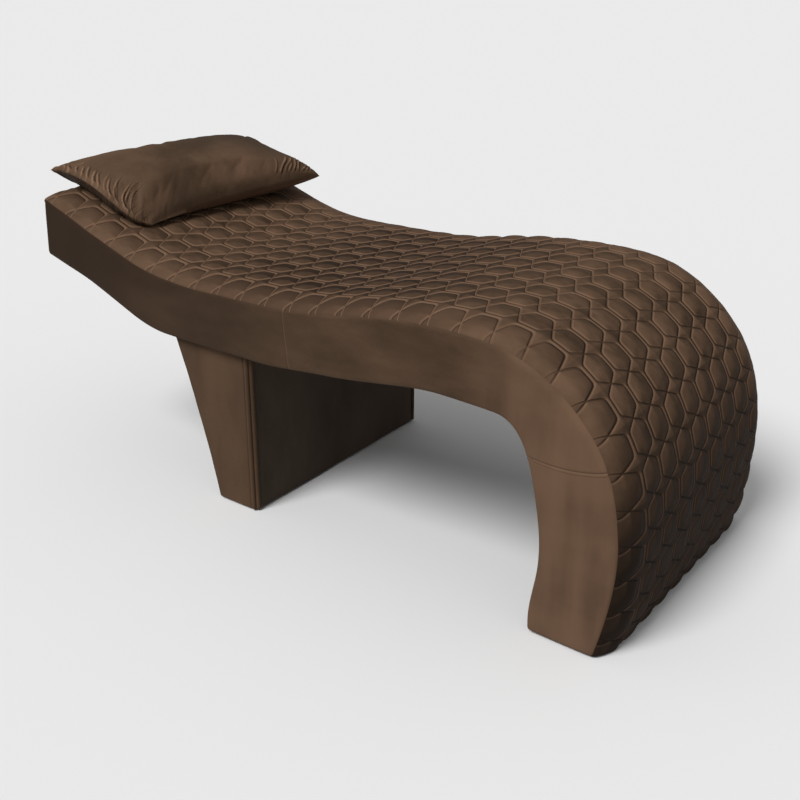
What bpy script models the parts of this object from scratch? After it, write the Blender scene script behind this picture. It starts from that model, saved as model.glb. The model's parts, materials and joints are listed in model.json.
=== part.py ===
import math

import bmesh
import bpy
import numpy as np
from mathutils import Vector

for leftover in list(bpy.data.objects):
    bpy.data.objects.remove(leftover, do_unlink=True)

# Treatment bed, metres. While it is drawn, x runs from the head end towards the foot, y across the bed
# and z up from the floor. An empty then carries the whole bed so that the frame's origin is on the
# floor under the middle.

# Fit between touching pieces
GAP = 0.0003

# Deck line: where the quilted top meets the sides, as (x, z), from the head edge to the foot. Both lines
# run on a little below the floor and are cut at the hem.
HEAD_EDGE = (0.013, 0.712)
NECK = (0.222, 0.645)
SLOPE_END = (0.404, 0.596)
SEAT = (0.654, 0.588)
RISE = (0.897, 0.600)
THIGH = (1.118, 0.636)
CREST = (1.318, 0.650)
KNEE = (1.466, 0.635)
SHOULDER = (1.592, 0.563)
SHIN = (1.656, 0.492)
FOOT_FRONT = (1.720, 0.211)
FOOT_TOE = (1.681, -0.012)

# Underside line, from the head and down the inner face of the leg
HEAD_UNDER = (0.000, 0.566)
NECK_UNDER = (0.227, 0.498)
LANDING_HEIGHT = 0.437
LANDING_START = 0.440
LANDING_END = 0.722
RISE_UNDER = (0.910, 0.451)
THIGH_UNDER = (1.095, 0.474)
CREST_UNDER = (1.271, 0.4965)
KNEE_UNDER = (1.400, 0.494)
CORNER_UNDER = (1.430, 0.491)
SHIN_UNDER = (1.520, 0.334)
CALF_UNDER = (1.536, 0.161)
ANKLE_UNDER = (1.521, 0.048)
HEEL_UNDER = (1.524, -0.012)

# Bed body
BED_WIDTH = 0.750
GLIDE_HEIGHT = 0.003
GLIDE_RADIUS = 0.011
GLIDE_EDGE = 0.005
GLIDE_BEVEL = 0.001
HEM_RISE = 0.001
QUILT_THICKNESS = 0.012
FOAM_THICKNESS = 0.040
DECK_THICKNESS = 0.006
SIDE_COVER_THICKNESS = 0.008
HEAD_COVER_THICKNESS = 0.006
UNDER_COVER_THICKNESS = 0.003
UNDER_PANEL_THICKNESS = 0.004
RIB_THICKNESS = 0.018
BATTEN_THICKNESS = 0.022
BATTEN_WIDTH = 0.060
RAIL_THICKNESS = 0.018
MOUNT_BOARD_THICKNESS = 0.018
UPPER_BATTENS = 6
UPPER_BATTEN_HEAD_RUN = 0.240
UPPER_BATTEN_TOE_RUN = 0.240
LOWER_BATTEN_HEAD_RUN = 0.220
LOWER_BATTEN_THIGH_RUN = 1.050
LOWER_BATTEN_HEEL_RUN = 0.240
FOOT_GLIDE_INSET = 0.080

# Quilting of the top: hexagons that meet tip to tip along the bed, in rows that share their flats
CROWN = 0.018
CROWN_REACH = 0.090
HEXAGON_PITCH = 0.0775
HEXAGON_FLAT = 0.042
HEXAGON_PUFF = 0.006
ROW_PITCH = 0.078
QUILT_HEAD_MARGIN = 0.021
QUILT_TOE_MARGIN = 0.030
QUILT_SIDE_MARGIN = 0.020

# Seams of the side covers, as runs along the deck line and the underside line from the head
SIDE_SEAM_DECK_RUN = 0.860
SIDE_SEAM_UNDER_RUN = 0.887
LEG_SEAM_DECK_RUN = 1.790
LEG_SEAM_UNDER_RUN = 1.565
LEG_SEAM_SAG = 0.012

# Pedestal
PEDESTAL_WIDTH = 0.700
PEDESTAL_HEAD_FLOOR = 0.568
PEDESTAL_FOOT = 0.702
PEDESTAL_BOW = 0.008
PEDESTAL_COVER_THICKNESS = 0.012
PEDESTAL_BOARD = 0.015
WELT_RADIUS = 0.006
WELT_GROOVE_ANGLE = math.radians(24)
BOLT_EDGE_INSET = 0.048
BOLT_SIDE_INSET = 0.070
BOLT_RADIUS = 0.004
BOLT_HEAD_RIM = 0.004
BOLT_HEAD_HEIGHT = 0.006
BOLT_TAIL = 0.004
TEE_NUT_WALL = 0.0012
TEE_NUT_SHORT = 0.006
TEE_NUT_RIM = 0.0055
TEE_NUT_FLANGE_THICKNESS = 0.0015
MOUNT_BOARD_MARGIN = 0.050
PEDESTAL_GLIDE_INSET = 0.040

# Pillow, in its own frame: a down the slope, b across the bed, n up from the deck
PILLOW_RUN = 0.126
PILLOW_ACROSS = 0.016
PILLOW_TURN = math.radians(-4.9)
PILLOW_HALF_DEPTH = 0.162
PILLOW_HALF_LENGTH = 0.346
PILLOW_SEAM_HEIGHT = 0.053
PILLOW_CROWN = 0.080
PILLOW_DEPTH_FULLNESS = 0.25
PILLOW_LENGTH_FULLNESS = 0.34
PILLOW_BELLY_FULLNESS = 1.3
PILLOW_DRAW_IN = 0.14
PILLOW_END_DRAW_IN = 0.050
HEAD_SIDE_POWER = 6
FOOT_SIDE_POWER = 2
PILLOW_CORNER_DROOP = 0.011
PILLOW_CORNER_RISE = 0.034
PILLOW_CORNER_TUCK = 0.20
CORNER_TUCK_POWER = 4
PILLOW_CLOTH = 0.003
INSERT_SLACK = 0.0008
ZIP_HALF_LENGTH = 0.130
ZIP_TAPE_THICKNESS = 0.0015
ZIP_TAPE_HALF_HEIGHT = 0.006
ZIP_BEAD = 0.003
SLIDER_LENGTH = 0.010
SLIDER_WALL = 0.0022
PULL_LENGTH = 0.016
PULL_WIDTH = 0.005
PULL_THICKNESS = 0.0015
EAR_THICKNESS = 0.0010

# Facets
LONGEST_FACET = 0.095
FACET_TURN = math.radians(12)
ROUND_SIDES = 16
HEAD_CURVE_FACETS = 5
SEAM_FACETS = 5
WELT_FACETS = 8
PULL_ROOT_FACETS = 6
PILLOW_DEPTH_FACETS = 12
PILLOW_LENGTH_FACETS = 18
SMOOTH_ANGLE = math.radians(35)
STITCH_ANGLE = math.radians(12)


# Materials

def material(name, colour, roughness, metallic=0.0):
    made = bpy.data.materials.new(name)
    made.use_nodes = True
    shader = made.node_tree.nodes["Principled BSDF"]
    shader.inputs["Base Color"].default_value = (*colour, 1.0)
    shader.inputs["Roughness"].default_value = roughness
    shader.inputs["Metallic"].default_value = metallic
    return made


# Lines in the side view

class Line:
    # A smooth line through stations: cubic pieces by chord length, with continuous curvature.
    # A direction given for an end holds the line to it there.
    def __init__(self, stations, start=None, end=None, per_piece=60):
        points = np.array(stations, float)
        steps = np.linalg.norm(np.diff(points, axis=0), axis=1)
        count = len(points)
        matrix = np.zeros((count, count))
        sides = np.zeros((count, 2))
        for i in range(1, count - 1):
            before, after = 1 / steps[i - 1], 1 / steps[i]
            matrix[i, i - 1:i + 2] = before, 2 * (before + after), after
            sides[i] = 3 * ((points[i] - points[i - 1]) * before ** 2 + (points[i + 1] - points[i]) * after ** 2)
        for row, near, way, direction in ((0, 1, 1, start), (count - 1, count - 2, -1, end)):
            if direction is None:
                matrix[row, row], matrix[row, near] = 2, 1
                sides[row] = 3 * way * (points[near] - points[row]) / np.linalg.norm(points[near] - points[row])
            else:
                matrix[row, row] = 1
                sides[row] = direction
        slopes = np.linalg.solve(matrix, sides)
        fine = [points[:1]]
        share = np.arange(1, per_piece + 1)[:, None] / per_piece
        for i in range(count - 1):
            rise = 3 * share ** 2 - 2 * share ** 3
            leave = share * (1 - share) ** 2 * steps[i]
            arrive = share ** 2 * (share - 1) * steps[i]
            fine.append((1 - rise) * points[i] + rise * points[i + 1] + leave * slopes[i] + arrive * slopes[i + 1])
        self.points = np.vstack(fine)
        self.runs = np.r_[0, np.cumsum(np.linalg.norm(np.diff(self.points, axis=0), axis=1))]
        self.length = self.runs[-1]

    def at(self, run):
        return np.stack([np.interp(run, self.runs, self.points[:, k]) for k in range(2)], -1)

    def normal(self, run, reach=0.004):
        # Unit normal on the left of the way from head to floor
        ahead = self.at(np.minimum(run + reach, self.length))
        behind = self.at(np.maximum(run - reach, 0))
        tangent = ahead - behind
        tangent = tangent / np.linalg.norm(tangent, axis=-1, keepdims=True)
        return np.stack([-tangent[..., 1], tangent[..., 0]], -1)

    def even_runs(self):
        # Runs closer together where the line turns faster
        tangent = np.diff(self.points, axis=0)
        heading = np.unwrap(np.arctan2(tangent[:, 1], tangent[:, 0]))
        turned = np.r_[0, np.cumsum(np.abs(np.diff(heading))), 0]
        turned[-1] = turned[-2]
        measure = self.runs / LONGEST_FACET + turned / FACET_TURN
        wanted = np.linspace(0, measure[-1], int(math.ceil(measure[-1])) + 1)
        return np.interp(wanted, measure, self.runs)


def offset(points, distance):
    # Moves an open line to its left, with mitred corners, so that every facet stays parallel
    way = np.diff(points, axis=0)
    way /= np.linalg.norm(way, axis=1)[:, None]
    left = np.column_stack([-way[:, 1], way[:, 0]])
    sums = np.vstack([left[:1] * 2, left[:-1] + left[1:], left[-1:] * 2])
    mitre = 2 * sums / (sums ** 2).sum(1)[:, None]
    return points + distance * mitre


def clip_start(points, runs, origin, inward):
    # Starts an open line on a plane, cutting it or running its first facet on to meet it
    depth = (points - origin) @ inward
    first = int(np.argmax(depth > GAP))
    a, b = (first - 1, first) if first > 0 else (first, first + 1)
    share = depth[a] / (depth[a] - depth[b])
    meet = points[a] + share * (points[b] - points[a])
    run = runs[a] + share * (runs[b] - runs[a])
    return np.vstack([meet, points[first:]]), np.r_[run, runs[first:]]


class Layer:
    # An offset copy of a line, between the head plane and a height above the floor
    def __init__(self, points, runs, distance, head_inset, floor):
        moved = offset(points, distance)
        top, bottom = np.array(HEAD_EDGE), np.array(HEAD_UNDER)
        along = (bottom - top) / np.linalg.norm(bottom - top)
        inward = np.array([-along[1], along[0]])
        moved, kept = clip_start(moved, runs, top + head_inset * inward, inward)
        moved, kept = clip_start(moved[::-1], kept[::-1], np.array([0, floor]), np.array([0, 1.0]))
        self.points = moved[::-1]
        self.runs = kept[::-1]

    def part(self, start=None, end=None):
        # The stretch between two runs
        start = self.runs[0] if start is None else start
        end = self.runs[-1] if end is None else end
        inside = (self.runs > start) & (self.runs < end)
        wanted = np.r_[start, self.runs[inside], end]
        return np.stack([np.interp(wanted, self.runs, self.points[:, k]) for k in range(2)], -1)


deck_line = Line((HEAD_EDGE, NECK, SLOPE_END, SEAT, RISE, THIGH, CREST, KNEE, SHOULDER, SHIN, FOOT_FRONT,
                  FOOT_TOE))
level = np.array([1.0, 0.0])
head_way = np.array(HEAD_EDGE) - np.array(HEAD_UNDER)
slope_under = Line((HEAD_UNDER, NECK_UNDER, (LANDING_START, LANDING_HEIGHT)), end=level)
tail_under = Line(((LANDING_END, LANDING_HEIGHT), RISE_UNDER, THIGH_UNDER, CREST_UNDER, KNEE_UNDER, CORNER_UNDER,
                   SHIN_UNDER, CALF_UNDER, ANKLE_UNDER, HEEL_UNDER), start=level)

columns = int((deck_line.length - QUILT_HEAD_MARGIN - QUILT_TOE_MARGIN) / HEXAGON_PITCH)
tip_runs = QUILT_HEAD_MARGIN + HEXAGON_PITCH * np.arange(columns + 1)
deck_runs = np.r_[0, tip_runs, deck_line.length]
deck_points = deck_line.at(deck_runs)
under_points = np.vstack([slope_under.at(slope_under.even_runs()), tail_under.at(tail_under.even_runs())])
under_runs = np.r_[0, np.cumsum(np.linalg.norm(np.diff(under_points, axis=0), axis=1))]


cover_hem = GLIDE_HEIGHT + HEM_RISE


def deck_layer(depth, head_inset=0.0, floor=cover_hem):
    return Layer(deck_points, deck_runs, -depth, head_inset, floor)


def under_layer(depth, head_inset=0.0, floor=cover_hem):
    return Layer(under_points, under_runs, depth, head_inset, floor)


# Depths of the layers below the deck line and inside the underside line
foam_top = QUILT_THICKNESS + GAP
foam_bottom = foam_top + FOAM_THICKNESS
deck_top = foam_bottom + GAP
deck_bottom = deck_top + DECK_THICKNESS
rib_top = deck_bottom + GAP
panel_outside = UNDER_COVER_THICKNESS + GAP
panel_inside = panel_outside + UNDER_PANEL_THICKNESS
rib_bottom = panel_inside + GAP
head_inside = HEAD_COVER_THICKNESS + GAP
half_width = BED_WIDTH / 2
rib_outside = half_width - SIDE_COVER_THICKNESS - GAP
rib_inside = rib_outside - RIB_THICKNESS
batten_end = rib_inside - GAP
frame_foot = GLIDE_HEIGHT + GAP


# Mesh builders

bed = bpy.data.objects.new("bed", None)
bpy.context.scene.collection.objects.link(bed)


def add(name, mesh, paint, parent=bed):
    made = bpy.data.objects.new(name, mesh)
    bpy.context.scene.collection.objects.link(made)
    made.parent = parent
    mesh.materials.append(paint)
    return made


def finish(mesh_builder, name, crease=SMOOTH_ANGLE):
    bmesh.ops.recalc_face_normals(mesh_builder, faces=mesh_builder.faces)
    mesh = bpy.data.meshes.new(name)
    mesh_builder.to_mesh(mesh)
    mesh_builder.free()
    mesh.shade_smooth()
    mesh.set_sharp_from_angle(angle=crease)
    return mesh


def loft(name, outline_a, outline_b, paint, parent=bed):
    # A closed solid between two outlines of 3-D points, matched one to one
    builder = bmesh.new()
    rings = [[builder.verts.new(Vector(point)) for point in outline] for outline in (outline_a, outline_b)]
    builder.faces.new(rings[0])
    builder.faces.new(rings[1][::-1])
    count = len(outline_a)
    for i in range(count):
        j = (i + 1) % count
        builder.faces.new((rings[0][i], rings[1][i], rings[1][j], rings[0][j]))
    return add(name, finish(builder, name), paint, parent)


def slab(name, outline, y_low, y_high, paint):
    # An outline in the side view, extruded across the bed
    return loft(name, [(x, y_low, z) for x, z in outline], [(x, y_high, z) for x, z in outline], paint)


def column(name, outline, z_low, z_high, paint):
    # An outline in the top view, extruded upwards
    return loft(name, [(x, y, z_low) for x, y in outline], [(x, y, z_high) for x, y in outline], paint)


def band(upper, lower):
    return np.vstack([upper, lower[::-1]])


def lathe(name, profile, centre, paint):
    # A profile of (radius, height) turned about an upright axis. A profile that starts and ends on the
    # axis gives a solid, and any other gives a ring.
    builder = bmesh.new()
    solid = profile[0][0] == 0
    angles = np.arange(ROUND_SIDES) * 2 * math.pi / ROUND_SIDES
    rings = []
    for radius, height in profile:
        if radius == 0:
            rings.append([builder.verts.new((centre[0], centre[1], centre[2] + height))] * ROUND_SIDES)
        else:
            rings.append([builder.verts.new((centre[0] + radius * math.cos(angle),
                                             centre[1] + radius * math.sin(angle),
                                             centre[2] + height)) for angle in angles])
    pairs = list(zip(rings[:-1], rings[1:]))
    if not solid:
        pairs.append((rings[-1], rings[0]))
    for lower, upper in pairs:
        for i in range(ROUND_SIDES):
            j = (i + 1) % ROUND_SIDES
            corners = dict.fromkeys((lower[i], lower[j], upper[j], upper[i]))
            builder.faces.new(corners)
    return add(name, finish(builder, name), paint)


def cutter(name, position, radius, z_low, z_high):
    made = lathe(name, ((0, z_low), (radius, z_low), (radius, z_high), (0, z_high)), (*position, 0), steel)
    made.hide_render = True
    made.display_type = "WIRE"
    return made


def cut(target, tool, operation="DIFFERENCE"):
    modifier = target.modifiers.new(tool.name, "BOOLEAN")
    modifier.operation = operation
    modifier.object = tool
    modifier.solver = "EXACT"


velvet = material("velvet", (0.105, 0.068, 0.045), 0.85)
dark_velvet = material("side_velvet", (0.080, 0.053, 0.037), 0.88)
lining = material("lining", (0.030, 0.026, 0.024), 0.95)
foam = material("foam", (0.72, 0.66, 0.48), 0.95)
plywood = material("plywood", (0.60, 0.44, 0.27), 0.70)
hardboard = material("hardboard", (0.28, 0.17, 0.09), 0.80)
steel = material("steel", (0.56, 0.56, 0.58), 0.35, 1.0)
plastic = material("plastic", (0.02, 0.02, 0.02), 0.50)
fill = material("pillow_fill", (0.85, 0.84, 0.80), 0.95)
zip_paint = material("zip", (0.060, 0.040, 0.028), 0.60)
zip_metal = material("zip_metal", (0.20, 0.14, 0.08), 0.40, 1.0)


# Quilted top

def crown(across):
    # Height of the top above the deck line: rises from the edges and levels off
    inside = np.clip((half_width - np.abs(across)) / CROWN_REACH, 0, 1)
    return CROWN * (1 - (1 - inside) ** 2)


def on_quilt(run, across, puff=0.0):
    point = deck_line.at(run)
    normal = deck_line.normal(run)
    height = crown(across) + puff
    x, z = point + normal * height
    return Vector((x, across, z))


def quilted_cover():
    builder = bmesh.new()
    rows = int((BED_WIDTH - 2 * QUILT_SIDE_MARGIN) / ROW_PITCH)
    centres = ROW_PITCH * (np.arange(rows) - (rows - 1) / 2)
    half_flat = HEXAGON_FLAT / 2
    made = {}

    def corner(run, across, puff=0.0):
        key = (round(run, 6), round(across, 6))
        if key not in made:
            made[key] = builder.verts.new(on_quilt(run, across, puff))
        return made[key]

    def tip(i, row):
        return corner(tip_runs[i], centres[row])

    def flat_end(i, side, line):
        across = centres[0] + ROW_PITCH * (line - 0.5)
        return corner(tip_runs[i] + HEXAGON_PITCH / 2 + side * half_flat, across)

    # Hexagons, each a low six-sided puff
    for i in range(columns):
        for row in range(rows):
            ring = (tip(i, row), flat_end(i, -1, row), flat_end(i, 1, row), tip(i + 1, row),
                    flat_end(i, 1, row + 1), flat_end(i, -1, row + 1))
            middle = corner(tip_runs[i] + HEXAGON_PITCH / 2, centres[row], HEXAGON_PUFF)
            for k in range(6):
                builder.faces.new((middle, ring[k], ring[(k + 1) % 6]))
    # Diamonds between four hexagons
    for i in range(1, columns):
        for row in range(rows - 1):
            builder.faces.new((tip(i, row), flat_end(i, -1, row + 1), tip(i, row + 1), flat_end(i - 1, 1, row + 1)))
    # Plain margins along both sides
    lower = deck_layer(QUILT_THICKNESS)
    upper = deck_layer(0.0)
    sides = (-half_width, half_width)
    edges = {side: [builder.verts.new((x, side, z)) for x, z in upper.points] for side in sides}
    inset = QUILT_THICKNESS
    feet = {side: [builder.verts.new((x, side - math.copysign(inset, side), z)) for x, z in lower.points]
            for side in sides}
    for side, row, line in ((sides[0], 0, 0), (sides[1], rows - 1, rows)):
        edge = edges[side]
        for i in range(columns):
            builder.faces.new((edge[i + 1], edge[i + 2], tip(i + 1, row), flat_end(i, 1, line),
                               flat_end(i, -1, line), tip(i, row)))
    # Plain margins at the head and at the floor, from the outermost tips to the end, which stays in its plane
    for end, i, beside, way in ((0, 0, 1, head_way), (-1, columns, -2, level)):
        rise = way / (way @ deck_line.normal(deck_runs[end]))
        line_ends = []
        for row in range(rows):
            x, z = upper.points[end] + rise * crown(centres[row])
            line_ends.append(builder.verts.new((x, centres[row], z)))
        outer = [edges[sides[0]][end]] + line_ends + [edges[sides[1]][end]]
        inner = [edges[sides[0]][beside]] + [tip(i, row) for row in range(rows)] + [edges[sides[1]][beside]]
        for k in range(rows + 1):
            face = [outer[k], outer[k + 1], inner[k + 1]]
            if 0 < k < rows:
                face.append(flat_end(min(i, columns - 1), 1 if i else -1, k))
            face.append(inner[k])
            builder.faces.new(face)
        floor_line = [feet[sides[0]][end], feet[sides[1]][end]]
        builder.faces.new(outer + floor_line[::-1])
    # Under face and the mitred side walls
    for k in range(len(lower.points) - 1):
        near, far = sides
        builder.faces.new((feet[near][k], feet[near][k + 1], feet[far][k + 1], feet[far][k]))
        for side in sides:
            builder.faces.new((edges[side][k], edges[side][k + 1], feet[side][k + 1], feet[side][k]))
    return add("quilted_cover", finish(builder, "quilted_cover", STITCH_ANGLE), velvet)


# Upholstery of the bed body

def across_band(name, upper, lower, reach, paint):
    return slab(name, band(upper, lower), -reach, reach, paint)


def side_cover_panels():
    cover_in = half_width - SIDE_COVER_THICKNESS
    outer, inner = deck_layer(GAP * 2), deck_layer(GAP * 2 + SIDE_COVER_THICKNESS)
    under = under_layer(0.0)
    seam_share = np.linspace(0, 1, SEAM_FACETS + 1)[1:-1, None]
    cuts = ((None, None, 0.0), (SIDE_SEAM_DECK_RUN, SIDE_SEAM_UNDER_RUN, 0.0),
            (LEG_SEAM_DECK_RUN, LEG_SEAM_UNDER_RUN, LEG_SEAM_SAG), (None, None, 0.0))

    def seam(deck, run, under_run, sag):
        # Points of a seam from the deck line down to the underside, sagging as a parabola
        if run is None:
            return np.zeros((0, 2))
        top = deck.part(run, run + GAP)[0]
        bottom = under.part(under_run, under_run + GAP)[0]
        points = top + seam_share * (bottom - top)
        points[:, 1] -= (4 * sag * seam_share * (1 - seam_share))[:, 0]
        return points

    def outline(deck, first, last):
        start, under_start, start_sag = first
        end, under_end, end_sag = last
        shift = GAP / 2
        start, under_start = (value and value + shift for value in (start, under_start))
        end, under_end = (value and value - shift for value in (end, under_end))
        return np.vstack([deck.part(start, end), seam(deck, end, under_end, end_sag),
                          under.part(under_start, under_end)[::-1],
                          seam(deck, start, under_start, start_sag)[::-1]])

    for side, way in (("near", -1), ("far", 1)):
        for panel, first, last in zip(("head", "middle", "leg"), cuts[:-1], cuts[1:]):
            outside = [(x, way * half_width, z) for x, z in outline(outer, first, last)]
            inside = [(x, way * cover_in, z) for x, z in outline(inner, first, last)]
            loft(f"side_cover_{side}_{panel}", outside, inside, dark_velvet)


def upholstery():
    quilted_cover()
    reach = rib_outside
    across_band("foam_pad", deck_layer(foam_top, head_inside).points, deck_layer(foam_bottom, head_inside).points,
                reach, foam)
    across_band("top_deck", deck_layer(deck_top, head_inside).points, deck_layer(deck_bottom, head_inside).points,
                reach, plywood)
    panel = across_band("underside_panel", under_layer(panel_inside, head_inside).points,
                        under_layer(panel_outside, head_inside).points, reach, hardboard)
    cover = across_band("underside_cover", under_layer(UNDER_COVER_THICKNESS).points, under_layer(0.0).points,
                        reach, lining)
    side_cover_panels()
    upper = [deck_layer(foam_top, inset).points[0] for inset in (0.0, HEAD_COVER_THICKNESS)]
    lower = [under_layer(panel_outside, inset).points[0] for inset in (0.0, HEAD_COVER_THICKNESS)]
    slab("head_end_cover", np.array([upper[0], upper[1], lower[1], lower[0]]), -reach, reach, dark_velvet)
    return panel, cover


# Timber carcass

def carcass():
    outline = band(deck_layer(rib_top, head_inside, frame_foot).points,
                   under_layer(rib_bottom, head_inside, frame_foot).points)
    slab("rib_near", outline, -rib_outside, -rib_inside, plywood)
    slab("rib_far", outline, rib_inside, rib_outside, plywood)
    above, below = deck_layer(rib_top, head_inside), deck_layer(rib_top + BATTEN_THICKNESS, head_inside)
    runs = np.linspace(UPPER_BATTEN_HEAD_RUN, deck_line.length - UPPER_BATTEN_TOE_RUN, UPPER_BATTENS)
    for number, run in enumerate(runs, 1):
        start, end = run - BATTEN_WIDTH / 2, run + BATTEN_WIDTH / 2
        across_band(f"upper_batten_{number}", above.part(start, end), below.part(start, end), batten_end, plywood)
    above, below = under_layer(rib_bottom + BATTEN_THICKNESS, head_inside), under_layer(rib_bottom, head_inside)
    runs = (LOWER_BATTEN_HEAD_RUN, LOWER_BATTEN_THIGH_RUN, under_runs[-1] - LOWER_BATTEN_HEEL_RUN)
    for number, run in enumerate(runs, 1):
        start, end = run - BATTEN_WIDTH / 2, run + BATTEN_WIDTH / 2
        across_band(f"lower_batten_{number}", above.part(start, end), below.part(start, end), batten_end, plywood)
    insets = (head_inside, head_inside + RAIL_THICKNESS)
    upper = [deck_layer(rib_top, inset).points[0] for inset in insets]
    lower = [under_layer(rib_bottom, inset).points[0] for inset in insets]
    slab("head_rail", np.array([upper[0], upper[1], lower[1], lower[0]]), -batten_end, batten_end, plywood)
    floors = (frame_foot, frame_foot + RAIL_THICKNESS)
    front = [deck_layer(rib_top, 0.0, floor).points[-1] for floor in floors]
    back = [under_layer(rib_bottom, 0.0, floor).points[-1] for floor in floors]
    slab("foot_rail", np.array([front[0], front[1], back[1], back[0]]), -batten_end, batten_end, plywood)
    glides("foot_glide", back[0][0], front[0][0], batten_end - FOOT_GLIDE_INSET)


def glides(name, x_low, x_high, spread):
    # Four nail-on glides under a board, set in from its edges
    inset = GLIDE_EDGE + GLIDE_RADIUS
    places = [(x, y, 0.0) for x in (x_low + inset, x_high - inset) for y in (-spread, spread)]
    profile = ((0, 0), (GLIDE_RADIUS - GLIDE_BEVEL, 0), (GLIDE_RADIUS, GLIDE_BEVEL), (GLIDE_RADIUS, GLIDE_HEIGHT),
               (0, GLIDE_HEIGHT))
    for number, place in enumerate(places, 1):
        lathe(f"{name}_{number}", profile, place, plastic)


# Pedestal

def head_curve(inset, height):
    # x of the pedestal's head-side face, hollowed by a parabola between floor and top
    share = (height - cover_hem) / (LANDING_HEIGHT - cover_hem)
    chord = PEDESTAL_HEAD_FLOOR + (LANDING_START - PEDESTAL_HEAD_FLOOR) * share
    return chord + 4 * PEDESTAL_BOW * share * (1 - share) + inset


def head_face(inset, low, high):
    # Every piece on this face breaks at the same heights, so that they nest
    breaks = np.linspace(cover_hem, LANDING_HEIGHT, HEAD_CURVE_FACETS + 1)[1:-1]
    heights = np.r_[low, breaks[(breaks > low) & (breaks < high)], high]
    return np.column_stack([head_curve(inset, heights), heights])


def pedestal(panel, cover):
    cover_depth = PEDESTAL_COVER_THICKNESS
    top = LANDING_HEIGHT - GAP
    half = PEDESTAL_WIDTH / 2
    board_out = half - cover_depth - GAP
    board_in = board_out - PEDESTAL_BOARD
    inside_x = PEDESTAL_FOOT - cover_depth - GAP
    board_x = inside_x - PEDESTAL_BOARD
    plate_low = top - PEDESTAL_BOARD
    boards_top = plate_low - GAP
    board_inset = cover_depth + GAP
    panel_inset = board_inset + PEDESTAL_BOARD

    def side_outline(inset, foot_x, low, high):
        face = head_face(inset, low, high)
        return np.vstack([face, [(foot_x, high), (foot_x, low)]])

    # The welts take the foot-side corners, so the covers stop short of them
    chamfer = board_inset - (WELT_RADIUS + GAP) / math.sqrt(2)
    ridge = WELT_RADIUS * math.cos(WELT_GROOVE_ANGLE) / math.sqrt(2)
    cover_stop = chamfer + ridge + WELT_RADIUS + GAP
    near_outline = side_outline(0.0, PEDESTAL_FOOT - cover_stop, cover_hem, top)
    board_outline = side_outline(board_inset, inside_x, frame_foot, boards_top)
    for side, way in (("near", -1), ("far", 1)):
        spans = sorted((way * half, way * (half - cover_depth)))
        slab(f"pedestal_cover_{side}", near_outline, *spans, velvet)
        spans = sorted((way * board_out, way * board_in))
        slab(f"pedestal_board_{side}", board_outline, *spans, plywood)
    reach = half - cover_depth - GAP
    slab("pedestal_cover_head", band(head_face(0.0, cover_hem, top), head_face(cover_depth, cover_hem, top)),
         -reach, reach, dark_velvet)
    foot_reach = half - cover_stop
    slab("pedestal_cover_foot", rectangle(PEDESTAL_FOOT - cover_depth, PEDESTAL_FOOT, cover_hem, top),
         -foot_reach, foot_reach, dark_velvet)
    between = board_in - GAP
    slab("pedestal_panel_head", band(head_face(board_inset, frame_foot, boards_top),
                                     head_face(panel_inset, frame_foot, boards_top)), -between, between, plywood)
    slab("pedestal_panel_foot", rectangle(board_x, inside_x, frame_foot, boards_top), -between, between, plywood)
    base_high = frame_foot + PEDESTAL_BOARD
    base = side_outline(panel_inset + GAP, board_x - GAP, frame_foot, base_high)
    slab("pedestal_base_plate", base, -between, between, plywood)
    plate = slab("pedestal_top_plate", side_outline(board_inset, inside_x, plate_low, top), -board_out, board_out,
                 plywood)
    for side, way in (("near", -1), ("far", 1)):
        column(f"corner_welt_{side}", welt_outline(PEDESTAL_FOOT - chamfer, half - chamfer, way), cover_hem, top,
               velvet)
    glides("pedestal_glide", head_curve(panel_inset, frame_foot), board_x, between - PEDESTAL_GLIDE_INSET)
    bolt_x = (head_curve(panel_inset, plate_low) + BOLT_EDGE_INSET, board_x - BOLT_EDGE_INSET)
    bolts((plate, panel, cover), bolt_x, board_in - BOLT_SIDE_INSET, plate_low)


def rectangle(x_low, x_high, z_low, z_high):
    return np.array([(x_low, z_low), (x_high, z_low), (x_high, z_high), (x_low, z_high)])


def welt_outline(x, y, way):
    # Two round ridges side by side on the chamfered corner, with a groove between them
    half = WELT_RADIUS * math.cos(WELT_GROOVE_ANGLE)
    back = -math.pi / 2 - WELT_GROOVE_ANGLE
    right = [(half + WELT_RADIUS * math.cos(angle), WELT_RADIUS * math.sin(angle))
             for angle in np.linspace(back, math.pi - WELT_GROOVE_ANGLE, WELT_FACETS + 1)]
    left = [(-along, out) for along, out in right[-2::-1]]
    turn = math.sqrt(0.5)
    return [(x + turn * (along + out), way * (y - turn * (along - out))) for along, out in right + left]


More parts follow.
